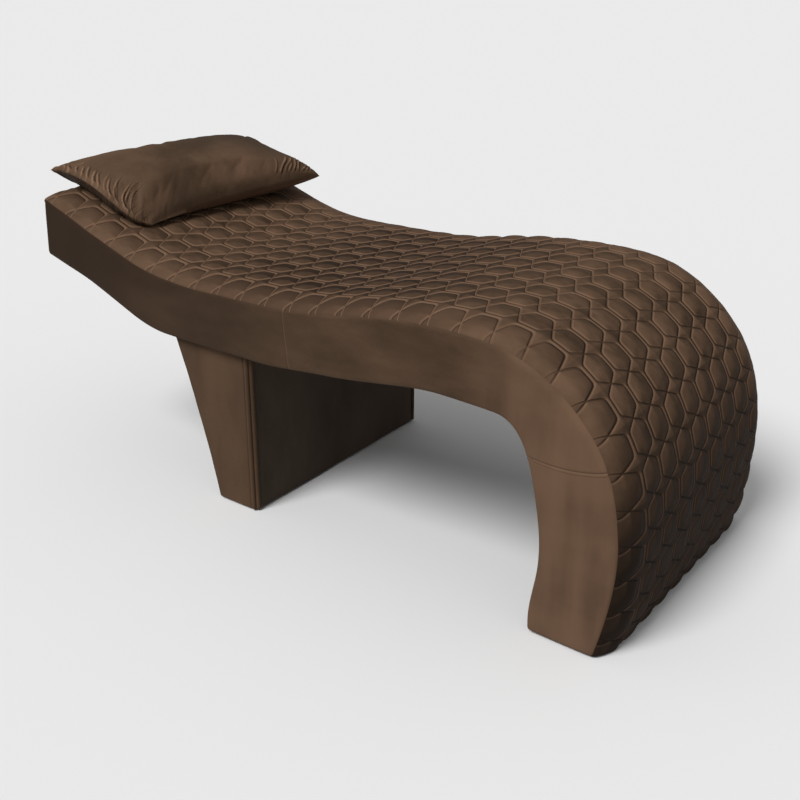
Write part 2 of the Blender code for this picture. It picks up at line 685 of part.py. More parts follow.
def bolts(layers, bolt_x, bolt_y, seat):
    # Bolts stand head down under the top plate and run up into tee nuts on the mount board
    board_low = LANDING_HEIGHT + rib_bottom
    board_high = board_low + MOUNT_BOARD_THICKNESS
    board = slab("mount_board", rectangle(bolt_x[0] - MOUNT_BOARD_MARGIN, bolt_x[1] + MOUNT_BOARD_MARGIN, board_low,
                                          board_high), -batten_end, batten_end, plywood)
    slack = BOLT_RADIUS + GAP
    head = BOLT_RADIUS + BOLT_HEAD_RIM
    head_high = seat - GAP
    head_low = head_high - BOLT_HEAD_HEIGHT
    barrel = slack + TEE_NUT_WALL
    barrel_low = board_low + TEE_NUT_SHORT
    flange = barrel + TEE_NUT_RIM
    flange_low = board_high + GAP
    flange_high = flange_low + TEE_NUT_FLANGE_THICKNESS
    tail = flange_high + BOLT_TAIL
    bolt_profile = ((0, head_low), (head, head_low), (head, head_high), (BOLT_RADIUS, head_high), (BOLT_RADIUS, tail),
                    (0, tail))
    nut_profile = ((slack, barrel_low), (barrel, barrel_low), (barrel, flange_low), (flange, flange_low),
                   (flange, flange_high), (slack, flange_high))
    places = [(x, y) for x in bolt_x for y in (-bolt_y, bolt_y)]
    for number, place in enumerate(places, 1):
        lathe(f"pedestal_bolt_{number}", bolt_profile, (*place, 0), steel)
        lathe(f"tee_nut_{number}", nut_profile, (*place, 0), steel)
        hole = cutter(f"bolt_hole_{number}", place, slack, seat - BOLT_TAIL, barrel_low)
        socket = cutter(f"barrel_hole_{number}", place, barrel + GAP, board_low - BOLT_TAIL, tail)
        for layer in layers:
            cut(layer, hole)
        cut(board, socket)


# Pillow

slope_way = np.array(NECK) - np.array(HEAD_EDGE)
slope = math.atan2(-slope_way[1], slope_way[0])
pillow_seat = deck_line.at(PILLOW_RUN)

pillow_frame = bpy.data.objects.new("pillow_frame", None)
bpy.context.scene.collection.objects.link(pillow_frame)
pillow_frame.parent = bed
pillow_frame.location = (pillow_seat[0], PILLOW_ACROSS, pillow_seat[1])
pillow_frame.rotation_euler = (0, slope, 0)


def deck_under_pillow(down):
    # Height of the quilted top's puffs in the pillow's frame, with the fit
    from_seat = deck_line.points - pillow_seat
    along = from_seat[:, 0] * math.cos(slope) - from_seat[:, 1] * math.sin(slope)
    height = from_seat[:, 0] * math.sin(slope) + from_seat[:, 1] * math.cos(slope)
    upper = deck_line.runs < deck_line.length / 2
    return np.interp(down, along[upper], height[upper]) + CROWN + HEXAGON_PUFF + GAP


depth_share = np.sin(np.linspace(-1, 1, PILLOW_DEPTH_FACETS + 1) * math.pi / 2)
length_share = np.sin(np.linspace(-1, 1, PILLOW_LENGTH_FACETS + 1) * math.pi / 2)
share_a, share_b = np.meshgrid(depth_share, length_share, indexing="ij")


def pillow_surfaces(shrink):
    # Upper and lower surfaces, drawn in evenly by shrink. The outline pulls in between its corners,
    # the corner by the neck droops and tucks under, and the one across from it stands up.
    near_foot = (1 + share_a) / 2 * (1 - share_b) / 2
    far_foot = (1 + share_a) / 2 * (1 + share_b) / 2
    tuck = 1 - PILLOW_CORNER_TUCK * near_foot ** CORNER_TUCK_POWER
    draw_power = np.where(share_a < 0, HEAD_SIDE_POWER, FOOT_SIDE_POWER)
    draw = PILLOW_DRAW_IN * (1 - np.abs(share_b) ** draw_power)
    end_draw = PILLOW_END_DRAW_IN * (1 - share_a ** 2)
    a = (PILLOW_HALF_DEPTH - shrink) * share_a * (1 - draw) * tuck
    b = (PILLOW_HALF_LENGTH - shrink) * share_b * (1 - end_draw) * tuck
    dome = (np.clip(1 - share_a ** 2, 0, 1) ** PILLOW_DEPTH_FULLNESS
            * np.clip(1 - share_b ** 2, 0, 1) ** PILLOW_LENGTH_FULLNESS)
    seam = PILLOW_SEAM_HEIGHT - PILLOW_CORNER_DROOP * near_foot ** 2 + PILLOW_CORNER_RISE * far_foot ** 2
    turn, lean = math.cos(PILLOW_TURN), math.sin(PILLOW_TURN)
    down = turn * a - lean * b
    across = lean * a + turn * b
    upper = seam + (PILLOW_CROWN - shrink) * dome
    floor = deck_under_pillow(down) + shrink
    belly = PILLOW_SEAM_HEIGHT * np.minimum(1, PILLOW_BELLY_FULLNESS * dome)
    lower = np.maximum(np.minimum(floor, seam), seam - belly)
    return np.stack([down, across, upper], -1), np.stack([down, across, lower], -1)


def grid_faces(builder, points):
    rows, across = points.shape[:2]
    verts = [[builder.verts.new(Vector(points[i, j])) for j in range(across)] for i in range(rows)]
    for i in range(rows - 1):
        for j in range(across - 1):
            a, b, c, d = verts[i][j], verts[i + 1][j], verts[i + 1][j + 1], verts[i][j + 1]
            # Diagonals run from the corners towards the middle
            if (i < rows // 2) == (j < across // 2):
                builder.faces.new((a, b, c))
                builder.faces.new((a, c, d))
            else:
                builder.faces.new((a, b, d))
                builder.faces.new((b, c, d))
    return verts


def border(verts):
    last, end = len(verts) - 1, len(verts[0]) - 1
    return ([verts[i][0] for i in range(last)] + [verts[last][j] for j in range(end)]
            + [verts[i][end] for i in range(last, 0, -1)] + [verts[0][j] for j in range(end, 0, -1)])


def joined_grids(name, first, second, paint):
    # Two grids of one size, joined along their borders into a closed solid
    builder = bmesh.new()
    rims = [border(grid_faces(builder, grid)) for grid in (first, second)]
    count = len(rims[0])
    for i in range(count):
        j = (i + 1) % count
        builder.faces.new((rims[0][i], rims[0][j], rims[1][j], rims[1][i]))
    return add(name, finish(builder, name), paint, pillow_frame)


def pillow():
    upper, lower = pillow_surfaces(0.0)
    upper_in, lower_in = pillow_surfaces(PILLOW_CLOTH)
    fill_upper, fill_lower = pillow_surfaces(PILLOW_CLOTH + INSERT_SLACK)
    lift = np.array([0, 0, GAP / 2])
    joined_grids("pillow_top_panel", upper + lift, upper_in + lift, velvet)
    joined_grids("pillow_bottom_panel", lower - lift, lower_in - lift, velvet)
    joined_grids("pillow_insert", fill_upper + lift, fill_lower - lift, fill)


def zip_closure():
    # The zip lies along the straight middle of the head-side seam and faces away from the pillow
    seam_edge = PILLOW_HALF_DEPTH * (1 - PILLOW_DRAW_IN) + GAP
    frame = bpy.data.objects.new("zip_frame", None)
    bpy.context.scene.collection.objects.link(frame)
    frame.parent = pillow_frame
    frame.rotation_euler = (0, 0, PILLOW_TURN)
    frame.location = (-seam_edge * math.cos(PILLOW_TURN), -seam_edge * math.sin(PILLOW_TURN), PILLOW_SEAM_HEIGHT)
    bead = ZIP_BEAD / 2
    bead_out = ZIP_TAPE_THICKNESS + ZIP_BEAD
    tape = ZIP_TAPE_HALF_HEIGHT
    section = ((0, -tape), (0, tape), (ZIP_TAPE_THICKNESS, tape), (ZIP_TAPE_THICKNESS, bead), (bead_out, bead),
               (bead_out, -bead), (ZIP_TAPE_THICKNESS, -bead), (ZIP_TAPE_THICKNESS, -tape))
    ends = [[(-out, along, up) for out, up in section] for along in (-ZIP_HALF_LENGTH, ZIP_HALF_LENGTH)]
    loft("pillow_zip", *ends, zip_paint, frame)
    # Slider: a channel that straddles the bead, with two ears for the pull
    slot = bead + GAP
    slot_out = bead_out + GAP
    mouth = ZIP_TAPE_THICKNESS + GAP
    high = slot + SLIDER_WALL
    face = slot_out + SLIDER_WALL
    section = ((mouth, slot), (mouth, high), (face, high), (face, -high), (mouth, -high), (mouth, -slot),
               (slot_out, -slot), (slot_out, slot))
    half = SLIDER_LENGTH / 2
    rest = ZIP_HALF_LENGTH - SLIDER_LENGTH
    ends = [[(-out, along, up) for out, up in section] for along in (-half, half)]
    slider = loft("zip_slider", *ends, zip_metal, frame)
    slider.location = (0, rest, 0)
    ear_low = PULL_WIDTH / 2 + GAP
    ear_out = face + GAP + PULL_THICKNESS
    for name, way in (("ear_upper", 1), ("ear_lower", -1)):
        low, high_ear = sorted((way * ear_low, way * (ear_low + EAR_THICKNESS)))
        ring = [(-face + GAP, -PULL_THICKNESS), (-ear_out, -PULL_THICKNESS), (-ear_out, PULL_THICKNESS),
                (-face + GAP, PULL_THICKNESS)]
        ear = loft(name, [(x, y, low) for x, y in ring], [(x, y, high_ear) for x, y in ring], zip_metal, frame)
        ear.location = slider.location
        ear.hide_render = True
        ear.display_type = "WIRE"
        cut(slider, ear, "UNION")
    # Pull: a tab with a rounded root on its pivot, lying along the zip
    root = PULL_THICKNESS / 2
    ring = [(root * math.cos(angle), root * math.sin(angle)) for angle in np.linspace(0, math.pi, PULL_ROOT_FACETS + 1)]
    ring += [(-root, -PULL_LENGTH), (root, -PULL_LENGTH)]
    half_pull = PULL_WIDTH / 2
    pull = loft("zip_pull", [(x, y, -half_pull) for x, y in ring], [(x, y, half_pull) for x, y in ring], zip_metal,
                frame)
    pull.location = (-(face + GAP + root), rest, 0)


underside_panel, underside_cover = upholstery()
carcass()
pedestal(underside_panel, underside_cover)
pillow()
zip_closure()

# The frame's origin is on the floor, under the middle of the whole length
bpy.context.view_layer.update()
pieces = [piece for piece in bpy.data.objects if piece.type == "MESH" and not piece.hide_render]
reach = [(piece.matrix_world @ vertex.co).x for piece in pieces for vertex in piece.data.vertices]
bed.location.x = -(min(reach) + max(reach)) / 2
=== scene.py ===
import json
import math
from functools import partialmethod

import bpy
import numpy as np
from mathutils import Matrix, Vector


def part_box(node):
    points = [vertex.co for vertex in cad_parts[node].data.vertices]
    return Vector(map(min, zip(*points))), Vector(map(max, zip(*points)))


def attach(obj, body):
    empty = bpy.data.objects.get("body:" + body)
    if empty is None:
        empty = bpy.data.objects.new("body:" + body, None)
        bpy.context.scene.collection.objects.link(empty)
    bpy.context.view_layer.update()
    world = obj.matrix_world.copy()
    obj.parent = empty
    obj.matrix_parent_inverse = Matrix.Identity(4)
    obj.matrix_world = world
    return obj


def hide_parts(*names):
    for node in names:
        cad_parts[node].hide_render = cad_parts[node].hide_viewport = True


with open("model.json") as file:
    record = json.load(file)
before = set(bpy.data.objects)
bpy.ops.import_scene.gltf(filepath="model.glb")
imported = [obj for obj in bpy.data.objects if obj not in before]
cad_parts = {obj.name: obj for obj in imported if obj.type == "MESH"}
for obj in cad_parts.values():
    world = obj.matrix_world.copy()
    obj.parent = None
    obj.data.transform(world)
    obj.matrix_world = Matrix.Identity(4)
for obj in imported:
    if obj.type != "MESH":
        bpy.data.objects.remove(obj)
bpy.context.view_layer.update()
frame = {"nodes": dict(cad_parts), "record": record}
for spare in ("Cube", "Light", "Camera"):
    if spare in bpy.data.objects and spare not in frame["nodes"]:
        bpy.data.objects.remove(bpy.data.objects[spare])
scene = bpy.context.scene
scene.view_settings.view_transform = "Standard"
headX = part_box("side_cover_near_head")[0].x  # x of the head end, where the lines below start
sharpEdge = math.radians(62)  # borders that turn in behind a face don't darken it
print("frame loaded")


# Shader helpers

class Wire:  # the value on one socket, for use in expressions
    def __init__(self, paint, socket):
        self.paint = paint
        self.socket = socket

    def math(self, operation, *others):
        return self.paint.node("Math", {"operation": operation}, dict(enumerate((self, *others))))

    def __rsub__(self, other):
        return self.paint.node("Math", {"operation": "SUBTRACT"}, {0: other, 1: self})

    def out(self, key):  # another output of the same node
        return Wire(self.paint, self.socket.node.outputs[key])

    def ripple(self, length):  # a sine wave of that length
        return (self * (math.tau / length)).math("SINE")

    __add__ = __radd__ = partialmethod(math, "ADD")
    __sub__ = partialmethod(math, "SUBTRACT")
    __mul__ = __rmul__ = partialmethod(math, "MULTIPLY")
    __truediv__ = partialmethod(math, "DIVIDE")
    __mod__ = partialmethod(math, "FLOORED_MODULO")
    __abs__ = partialmethod(math, "ABSOLUTE")
    atLeast = partialmethod(math, "MAXIMUM")


class Paint:  # a material or the world: its shader's fixed sockets, and its nodes
    def __init__(self, name, fixed, owner=None, shader="Principled BSDF"):
        self.owner = bpy.data.materials.new(name) if owner is None else owner
        self.owner.use_nodes = True
        self.tree = self.owner.node_tree
        self.shader = self.tree.nodes[shader]
        for socket, value in fixed.items():
            self.shader.inputs[socket].default_value = value

    def node(self, kind, settings=None, inputs=None, out=0):
        made = self.tree.nodes.new("ShaderNode" + kind)
        for key, value in (settings or {}).items():
            if key == "stops":
                stops = made.color_ramp.elements
                while len(stops) < len(value):
                    stops.new(0.5)
                for stop, (place, colour) in zip(stops, value):
                    stop.position = place
                    stop.color = (*colour, 1)
            else:
                setattr(made, key, value)
        for key, value in (inputs or {}).items():
            if isinstance(value, Wire):
                self.tree.links.new(value.socket, made.inputs[key])
            else:
                made.inputs[key].default_value = value
        return Wire(self, made.outputs[out])

    def feed(self, socket, wire):
        self.tree.links.new(wire.socket, self.shader.inputs[socket])

    def place(self, kind="Object"):
        return self.node("TexCoord", out=kind)

    def uv(self):  # the two numbers of the piece's own UV map
        split = self.node("SeparateXYZ", None, {0: self.place("UV")})
        return split, split.out(1)

    def attribute(self, name):
        return self.node("Attribute", {"attribute_name": name}, None, "Fac")

    def noise(self, at, scale, detail=3.0, rough=0.5):
        inputs = {"Vector": at, "Scale": scale, "Detail": detail, "Roughness": rough}
        return self.node("TexNoise", None, inputs)

    def ramp(self, value, stops):
        return self.node("ValToRGB", {"stops": stops}, {"Fac": value})

    def mix(self, share, first, second):
        return self.node("Mix", {"data_type": "RGBA"}, {0: share, 6: first, 7: second}, 2)

    def tint(self, share, colour):  # lays one colour over those so far
        self.colour = self.mix(share, self.colour, (*colour, 1))

    def stretch(self, at, scale):
        return self.node("Mapping", None, {"Vector": at, "Scale": scale})

    def bump(self, height, strength, distance, under=None):
        inputs = {"Height": height, "Strength": strength, "Distance": distance}
        if under is not None:
            inputs["Normal"] = under
        return self.node("Bump", None, inputs)

    def smooth(self, value, low, high):  # 0 below low, 1 above high, eased between
        return self.node("MapRange", {"interpolation_type": "SMOOTHSTEP"},
                         {"Value": value, "From Min": low, "From Max": high})

    def close(self):
        self.feed("Base Color", self.colour)
        self.feed("Roughness", self.rough)
        self.feed("Normal", self.normal)
        return self


# Lines of the bed in the side view

bedLines = {
    "deck": ((0.003, 0.726), (0.222, 0.647), (0.404, 0.596), (0.654, 0.588), (0.897, 0.600), (1.118, 0.636),
             (1.318, 0.650), (1.466, 0.635), (1.592, 0.563), (1.656, 0.492), (1.720, 0.211), (1.681, -0.012)),
    "headUnder": ((-0.010, 0.569), (0.227, 0.498), (0.440, 0.437)),
    "tailUnder": ((0.722, 0.437), (0.910, 0.451), (1.095, 0.474), (1.271, 0.4965), (1.400, 0.494),
                  (1.430, 0.491), (1.520, 0.334), (1.536, 0.161), (1.521, 0.048), (1.524, -0.012)),
    "hem": 0.004,
    "halfWidth": 0.375,
    "edgeRadius": 0.010,
    "kneeRadius": 0.016,
    "kneeRun": 1.62,
    "kneeReach": 0.17,
}


def throughStations(stations, startWay=None, endWay=None, perPiece=80):
    # cubic pieces by chord length with even curvature at the stations;
    # a way given for an end holds the line to it
    points = np.array(stations, float)
    steps = np.linalg.norm(np.diff(points, axis=0), axis=1)
    count = len(points)
    matrix = np.zeros((count, count))
    sides = np.zeros((count, 2))
    for i in range(1, count - 1):
        before, after = 1 / steps[i - 1], 1 / steps[i]
        matrix[i, i - 1:i + 2] = before, 2 * (before + after), after
        sides[i] = 3 * ((points[i] - points[i - 1]) * before ** 2 + (points[i + 1] - points[i]) * after ** 2)
    for row, beside, sign, way in ((0, 1, 1, startWay), (count - 1, count - 2, -1, endWay)):
        if way is None:
            chord = points[beside] - points[row]
            matrix[row, row], matrix[row, beside] = 2, 1
            sides[row] = 3 * sign * chord / np.linalg.norm(chord)
        else:
            matrix[row, row] = 1
            sides[row] = way
    slopes = np.linalg.solve(matrix, sides)
    share = np.arange(1, perPiece + 1)[:, None] / perPiece
    rise = 3 * share ** 2 - 2 * share ** 3
    fine = [points[:1]]
    for i in range(count - 1):
        fine.append((1 - rise) * points[i] + rise * points[i + 1]
                    + share * (1 - share) ** 2 * steps[i] * slopes[i]
                    + share ** 2 * (share - 1) * steps[i] * slopes[i + 1])
    return np.vstack(fine)


class Track:  # a line in the side view, read by its running length
    def __init__(self, points, floor):
        below = points[:, 1] < floor
        if below.any():
            points = points[:int(np.argmax(below)) + 1]
        self.runs = np.r_[0, np.cumsum(np.linalg.norm(np.diff(points, axis=0), axis=1))]
        self.points = points + (headX, 0)
        self.length = self.runs[-1]

    def at(self, run):
        return np.stack([np.interp(run, self.runs, self.points[:, k]) for k in range(2)], -1)

    def normal(self, run, reach=0.006):  # unit normal on the left of the way from head to foot
        way = self.at(np.minimum(run + reach, self.length)) - self.at(np.maximum(run - reach, 0))
        way = way / np.linalg.norm(way, axis=-1, keepdims=True)
        return np.stack([-way[..., 1], way[..., 0]], -1)

    def lifted(self, run, across, height):  # points at a height along the normal, at places across the bed
        place = self.at(run) + self.normal(run) * height[..., None]
        return np.stack([place[..., 0], across, place[..., 1]], -1)

    def runAtX(self, x):
        return float(np.interp(x + headX, self.points[:, 0], self.runs))


level = np.array([1.0, 0.0])
deck = Track(throughStations(bedLines["deck"]), bedLines["hem"])
under = Track(np.vstack([throughStations(bedLines["headUnder"], endWay=level),
                         throughStations(bedLines["tailUnder"], startWay=level)]), bedLines["hem"])
seamShare = 1 - math.sqrt(0.5)  # a round edge's seam is this share of its radius from the corner
seamStep = bedLines["edgeRadius"] * seamShare


def topRadius(run):
    # radius of the top edges: fuller where the cover is pulled round the knee
    past = (run - bedLines["kneeRun"]) / bedLines["kneeReach"]
    return bedLines["edgeRadius"] + bedLines["kneeRadius"] * np.exp(-past ** 2)


def rollIn(distance, radius):
    # depth of a round edge: r less the root of r squared minus (r minus distance) squared, none past r
    short = radius - np.clip(distance, 0, radius)
    return radius - np.sqrt(np.maximum(radius ** 2 - short ** 2, 0))


def rollBoth(place, total, radius):
    # the same at both ends of a width
    return rollIn(place, radius) + rollIn(total - place, radius)


def bulge(share):
    # the root of half a sine wave: steep at the edges of a panel and full between them
    return np.sqrt(np.clip(np.sin(math.pi * np.clip(share, 0, 1)), 0, 1))


def edgeSteps(total, radius, count, seam, firstRadius=None):
    # places from one edge to the other, close together on the two round edges and even between them
    reach = 1.35  # the close steps go this many radii in
    close = seam + (reach - seam) * np.array([0, 0.16, 0.34, 0.55, 0.78])
    total = np.asarray(total, float)[..., None]
    first = radius + 0 * total if firstRadius is None else np.asarray(firstRadius, float)[..., None]
    inner = reach * first + (total - reach * (first + radius)) * np.linspace(0, 1, count)
    return np.concatenate([first * close, inner, total - radius * close[::-1]], -1)


# Mesh helpers

def grid(rows, across):
    return np.meshgrid(rows, across, indexing="ij")


def gridFaces(rows, across):
    index = np.arange(rows * across).reshape(rows, across)
    return np.stack([index[:-1, :-1], index[1:, :-1], index[1:, 1:], index[:-1, 1:]], -1).reshape(-1, 4)


def read(rows, key, width=1, kind=np.float32):
    # one property of a mesh's points, edges or corners, as an array
    values = np.zeros(len(rows) * width, kind)
    rows.foreach_get(key, values)
    return values if width == 1 else values.reshape(-1, width)


def newPiece(name, points, faces, paint, body, ends=(), uv=None):
    # quads from a numpy index array, with closing faces of any size after them
    mesh = bpy.data.meshes.new(name)
    mesh.from_pydata(points.reshape(-1, 3).tolist(), [], faces.tolist() + [list(end) for end in ends])
    if uv is not None:
        corner = read(mesh.loops, "vertex_index", kind=np.int32)
        layer = mesh.uv_layers.new(name="UVMap")
        layer.data.foreach_set("uv", uv.reshape(-1, 2)[corner].astype(np.float32).ravel())
    mesh.validate()
    mesh.polygons.foreach_set("use_smooth", np.ones(len(mesh.polygons), bool))
    mesh.set_sharp_from_angle(angle=sharpEdge)
    mesh.update()
    piece = bpy.data.objects.new(name, mesh)
    scene.collection.objects.link(piece)
    mesh.materials.append(paint.owner)
    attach(piece, body)
    return piece


def padPiece(name, front, paint, outward, uv=None):
    # closes a front grid: its two long borders are joined by a strip behind, and each end by one flat face
    rows, across = front.shape[:2]
    index = np.arange(rows * across).reshape(rows, across)
    back = np.stack([index[:-1, -1], index[1:, -1], index[1:, 0], index[:-1, 0]], -1)
    faces = np.vstack([gridFaces(rows, across), back])
    ends = [index[0], index[-1, ::-1]]
    middle = front[rows // 2, across // 2]
    du = front[rows // 2 + 1, across // 2] - middle
    dv = front[rows // 2, across // 2 + 1] - middle
    if np.dot(np.cross(du, dv), outward) < 0:
        faces = faces[:, ::-1]
        ends = [end[::-1] for end in ends]
    return newPiece(name, front, faces, paint, "bed", ends, uv)


def waves(x, y, seed, size, count=24):
    # soft unevenness: a sum of sines with seeded directions, lengths around size, scaled to about one
    pick = np.random.default_rng(seed)
    total = np.zeros(np.broadcast(x, y).shape)
    for angle, length, phase in zip(pick.uniform(0, math.tau, count), pick.uniform(0.6, 1.8, count) * size,
                                    pick.uniform(0, math.tau, count)):
        total += np.sin(math.tau * (x * math.cos(angle) + y * math.sin(angle)) / length + phase)
    return total / math.sqrt(count)


# Velvet

velvet = {
    "deep": (0.050, 0.029, 0.017),
    "mid": (0.098, 0.059, 0.035),
    "light": (0.152, 0.089, 0.055),
    "sheen": 0.075,
    "sheenSpread": 0.45,
    "sheenTint": (0.90, 0.77, 0.68, 1),
    "gloss": 0.06,
    "fleckScale": 260.0,
    "fleckShare": 0.14,
    "pileScale": 900.0,
    "pileBump": (0.35, 0.0006),
    "napBump": (0.25, 0.004),
    "rough": (0.62, 0.18),
}


def shade(colour, factor):
    return tuple(channel * factor for channel in colour)


# a velvet colour, scaled; it also gives the colours of the painted highlights and shades
def velvetTone(name, factor):
    return shade(velvet[name], factor)


def velvetPaint(name, mid, light, deep, patch, brush, spread=0.15, sheen=velvet["sheen"]):
    # pile noise on patches where the nap lies another way, with brushed streaks
    w = velvet
    paint = Paint(name, {"Sheen Weight": sheen, "Sheen Roughness": w["sheenSpread"],
                         "Sheen Tint": w["sheenTint"], "Specular IOR Level": w["gloss"]})
    paint.at = paint.place()
    paint.nap = paint.noise(paint.stretch(paint.at, brush), patch, 4.0, 0.55)
    fleck = paint.noise(paint.at, w["fleckScale"], 2.0, 0.6)
    pile = paint.noise(paint.at, w["pileScale"], 2.0, 0.7)
    tone = paint.nap * (1 - w["fleckShare"]) + fleck * w["fleckShare"]
    paint.colour = paint.ramp(tone, ((0.5 - spread, deep), (0.5, mid), (0.5 + spread, light)))
    paint.rough = paint.nap * w["rough"][1] + w["rough"][0]
    paint.normal = paint.bump(pile, *w["pileBump"], paint.bump(paint.nap, *w["napBump"]))
    return paint


# Quilted top: long hexagons that meet tip to tip, in rows with a narrow strip between their flats

quilt = {
    "crown": 0.018,
    "crownReach": 0.090,
    "pitch": 0.0775,
    "flat": 0.044,
    "halfHex": 0.0340,
    "row": 0.080,
    "shift": 0.010,
    "outerRow": 0.280,
    "outerStretch": 1.42,
    "firstTip": 0.021,
    "corner": 0.011,
    "puff": 0.0052,
    "diamondPuff": 0.0032,
    "diamondReach": 0.016,
    "uneven": 0.10,
    "edgeFade": 0.055,
    "headRise": 0.05,
    "toeBulge": 0.008,
    "toePlace": 0.07,
    "toeReach": 0.085,
    "stepsPerPitch": 18,
    "skirt": 0.012,
    "skirtIn": 0.004,
}

quiltShadeAndStitches = {  # painted highlight and shade on the quilt's relief and stitch lines, as if lit from the near side, with the stitches' bumps; runs along and places across are in metres
    "across": 0.0028,
    "along": (-0.0012, 0.0014),
    "turn": (1.15, 1.75),
    "edge": (0.318, 0.345),  # the lines fade where the cover is pulled over the edge
    "edgeFade": 0.75,
    "paintedFootShade": (1.60, 2.02),  # past the knee, on the foot front turned away from the light, painted shade
    "paintedSeatShade": (0.30, 0.80, 1.05, 1.50),  # painted shade where the seat dips, from its start to its end
    "paintedSeatShadeShare": 0.82,
    "pastKnee": (1.25, 1.65),  # over the knee the stitch grooves are deeper and get painted shade, before it they get a painted highlight
    "beforeKneeShadeShare": 0.18,
    "wearAndLight": (0.25, 0.345),  # painted highlight on the rolled edges
    "edgeHighlightShare": 0.34,
    "dome": (-0.008, 0.032),
    "domeShadingShare": 0.9,
    "lip": (0.0, 0.0045),
    "lipShadingShare": 0.55,
    "line": (0.0003, 0.0013),
    "lineShare": 0.62,
    "valley": (0.0004, 0.0030),
    "thread": (0.0003, 0.0010),
    "stitch": 0.0042,
    "pucker": (0.0020, 0.0060),
    "puckerScale": 95.0,
    "depth": 0.0026,
    "sheen": 0.010,
}


def stitchSides(u, v):
    # distances to the flat and the slanted sides of a hexagon, for arrays and wires alike
    q = quilt
    du = abs((u - q["firstTip"]) % q["pitch"] - q["pitch"] / 2)
    dv = abs((v + q["row"] / 2) % q["row"] - q["row"] / 2)
    slant = (q["pitch"] - q["flat"]) / 2
    toSlant = ((q["pitch"] / 2 - du) * q["halfHex"] - dv * slant) / math.hypot(q["halfHex"], slant)
    return q["halfHex"] - dv, toSlant


def stitchDistance(u, v):
    # distance to the nearest stitch line, positive in a hexagon and negative in the diamonds and strips
    toFlat, toSlant = stitchSides(u, v)
    blend = np.maximum(quilt["corner"] - np.abs(toFlat - toSlant), 0) / quilt["corner"]
    return np.minimum(toFlat, toSlant) - blend ** 3 * quilt["corner"] / 6


def stitchWire(u, v):
    # the same distance in nodes, without its sign
    toFlat, toSlant = stitchSides(u, v)
    return abs(toFlat.math("SMOOTH_MIN", toSlant, quilt["corner"]))


def patternAcross(v):
    # the rows lie a little to the near side, where the outermost row is pulled out over the edge
    q = quilt
    v = v + q["shift"]
    past = np.maximum(-v - q["outerRow"], 0)
    return np.maximum(v, -q["outerRow"]) - past / q["outerStretch"]


def crownHeight(v):
    # rises from the edge and levels off
    inside = np.clip((bedLines["halfWidth"] - np.abs(v)) / quilt["crownReach"], 0, 1)
    return quilt["crown"] * (1 - (1 - inside) ** 2.3)


def quiltHeight(u, v):
    # each cell rises steeply from its stitches and rounds off
    q = quilt
    distance = stitchDistance(u, patternAcross(v))
    hexagon = 1 - (1 - np.clip(distance / q["halfHex"], 0, 1)) ** 3.2
    diamond = 1 - (1 - np.clip(-distance / q["diamondReach"], 0, 1)) ** 2.4
    return (q["puff"] * hexagon + q["diamondPuff"] * diamond) * (1 + q["uneven"] * waves(u, v, 5, 0.16))


def quiltPaint():
    # velvet pressed flat along the stitches, with thread bumps; a slope of the relief that faces the near
    # side gets a painted highlight and one that faces away gets painted shade, as if lit from there; UV is in
    # metres along and across
    q = quiltShadeAndStitches
    paint = velvetPaint("quilted velvet", velvetTone("mid", 0.87), velvetTone("light", 0.85), velvetTone("deep", 0.90),
                        7.0, (1.6, 3, 3), 0.20, q["sheen"])
    u, v = paint.uv()
    # offsets that set which side of each slope gets the painted highlight and which the painted shade
    lean = paint.smooth(u, *q["turn"]) * (q["along"][1] - q["along"][0]) + q["along"][0]
    away = stitchWire(u, v)
    ahead = stitchWire(u + lean, v + q["across"])
    behind = stitchWire(u - lean, v - q["across"])
    pulled = 1 - paint.smooth(abs(v), *q["edge"]) * q["edgeFade"]
    # painted shade on the foot front past the knee, which faces away from the light
    paintedFootShade = paint.smooth(u, *q["paintedFootShade"])
    # painted shade over the dipped seat
    paintedSeatShade = paint.smooth(u, *q["paintedSeatShade"][:2]) * (1 - paint.smooth(u, *q["paintedSeatShade"][2:]))
    pastKnee = paint.smooth(u, *q["pastKnee"])
    # painted highlight on both rolled edges, short of the knee
    wearAndLight = paint.smooth(abs(v), *q["wearAndLight"]) * (1 - paintedFootShade)
    # painted shade: on the foot front, over the dipped seat and a little before the knee
    dark = paintedFootShade.atLeast(paintedSeatShade * q["paintedSeatShadeShare"]).atLeast((1 - pastKnee) * q["beforeKneeShadeShare"])
    paint.tint(dark, velvetTone("deep", 0.36))
    paint.tint(wearAndLight * q["edgeHighlightShare"], velvetTone("light", 1.25))
    # painted relief shading, as if lit from the near side: a highlight on slopes facing it, shade on slopes
    # facing away, and more shade on the falling side of each stitch lip before the knee
    dome = paint.smooth(ahead, *q["dome"]) - paint.smooth(behind, *q["dome"])
    lip = paint.smooth(ahead, *q["lip"]) - paint.smooth(behind, *q["lip"])
    paintedRelief = (dome * q["domeShadingShare"] + lip * q["lipShadingShare"]) * pulled
    paint.tint(paintedRelief.atLeast(0.0) * (1 - paintedFootShade * 0.50), velvetTone("light", 1.6))
    paint.tint((0 - paintedRelief).atLeast(0.0) * (pastKnee * 0.45 + 0.55), velvetTone("deep", 0.20))
    paint.tint((0 - lip).atLeast(0.0) * (1 - pastKnee) * 0.35, velvetTone("deep", 0.25))
    # stitch lines: painted shade past the knee and a painted highlight before it
    line = (1 - paint.smooth(away, *q["line"])) * q["lineShare"]
    paint.tint(line * pulled * pastKnee, velvetTone("deep", 0.30))
    paint.tint(line * (1 - pastKnee), velvetTone("light", 1.75))
    valley = (1 - paint.smooth(away, *q["valley"])) * pulled * (pastKnee * 0.75 + 0.25)
    thread = (1 - paint.smooth(away, *q["thread"])) * (u + v * 0.6).ripple(q["stitch"])
    gathered = (1 - paint.smooth(away, *q["pucker"])) * pulled
    pucker = paint.noise(paint.at, q["puckerScale"], 2.0, 0.55) * gathered
    paint.normal = paint.bump(thread * 0.10 - valley + pucker * 0.35, 1.0, q["depth"], paint.normal)
    return paint.close()


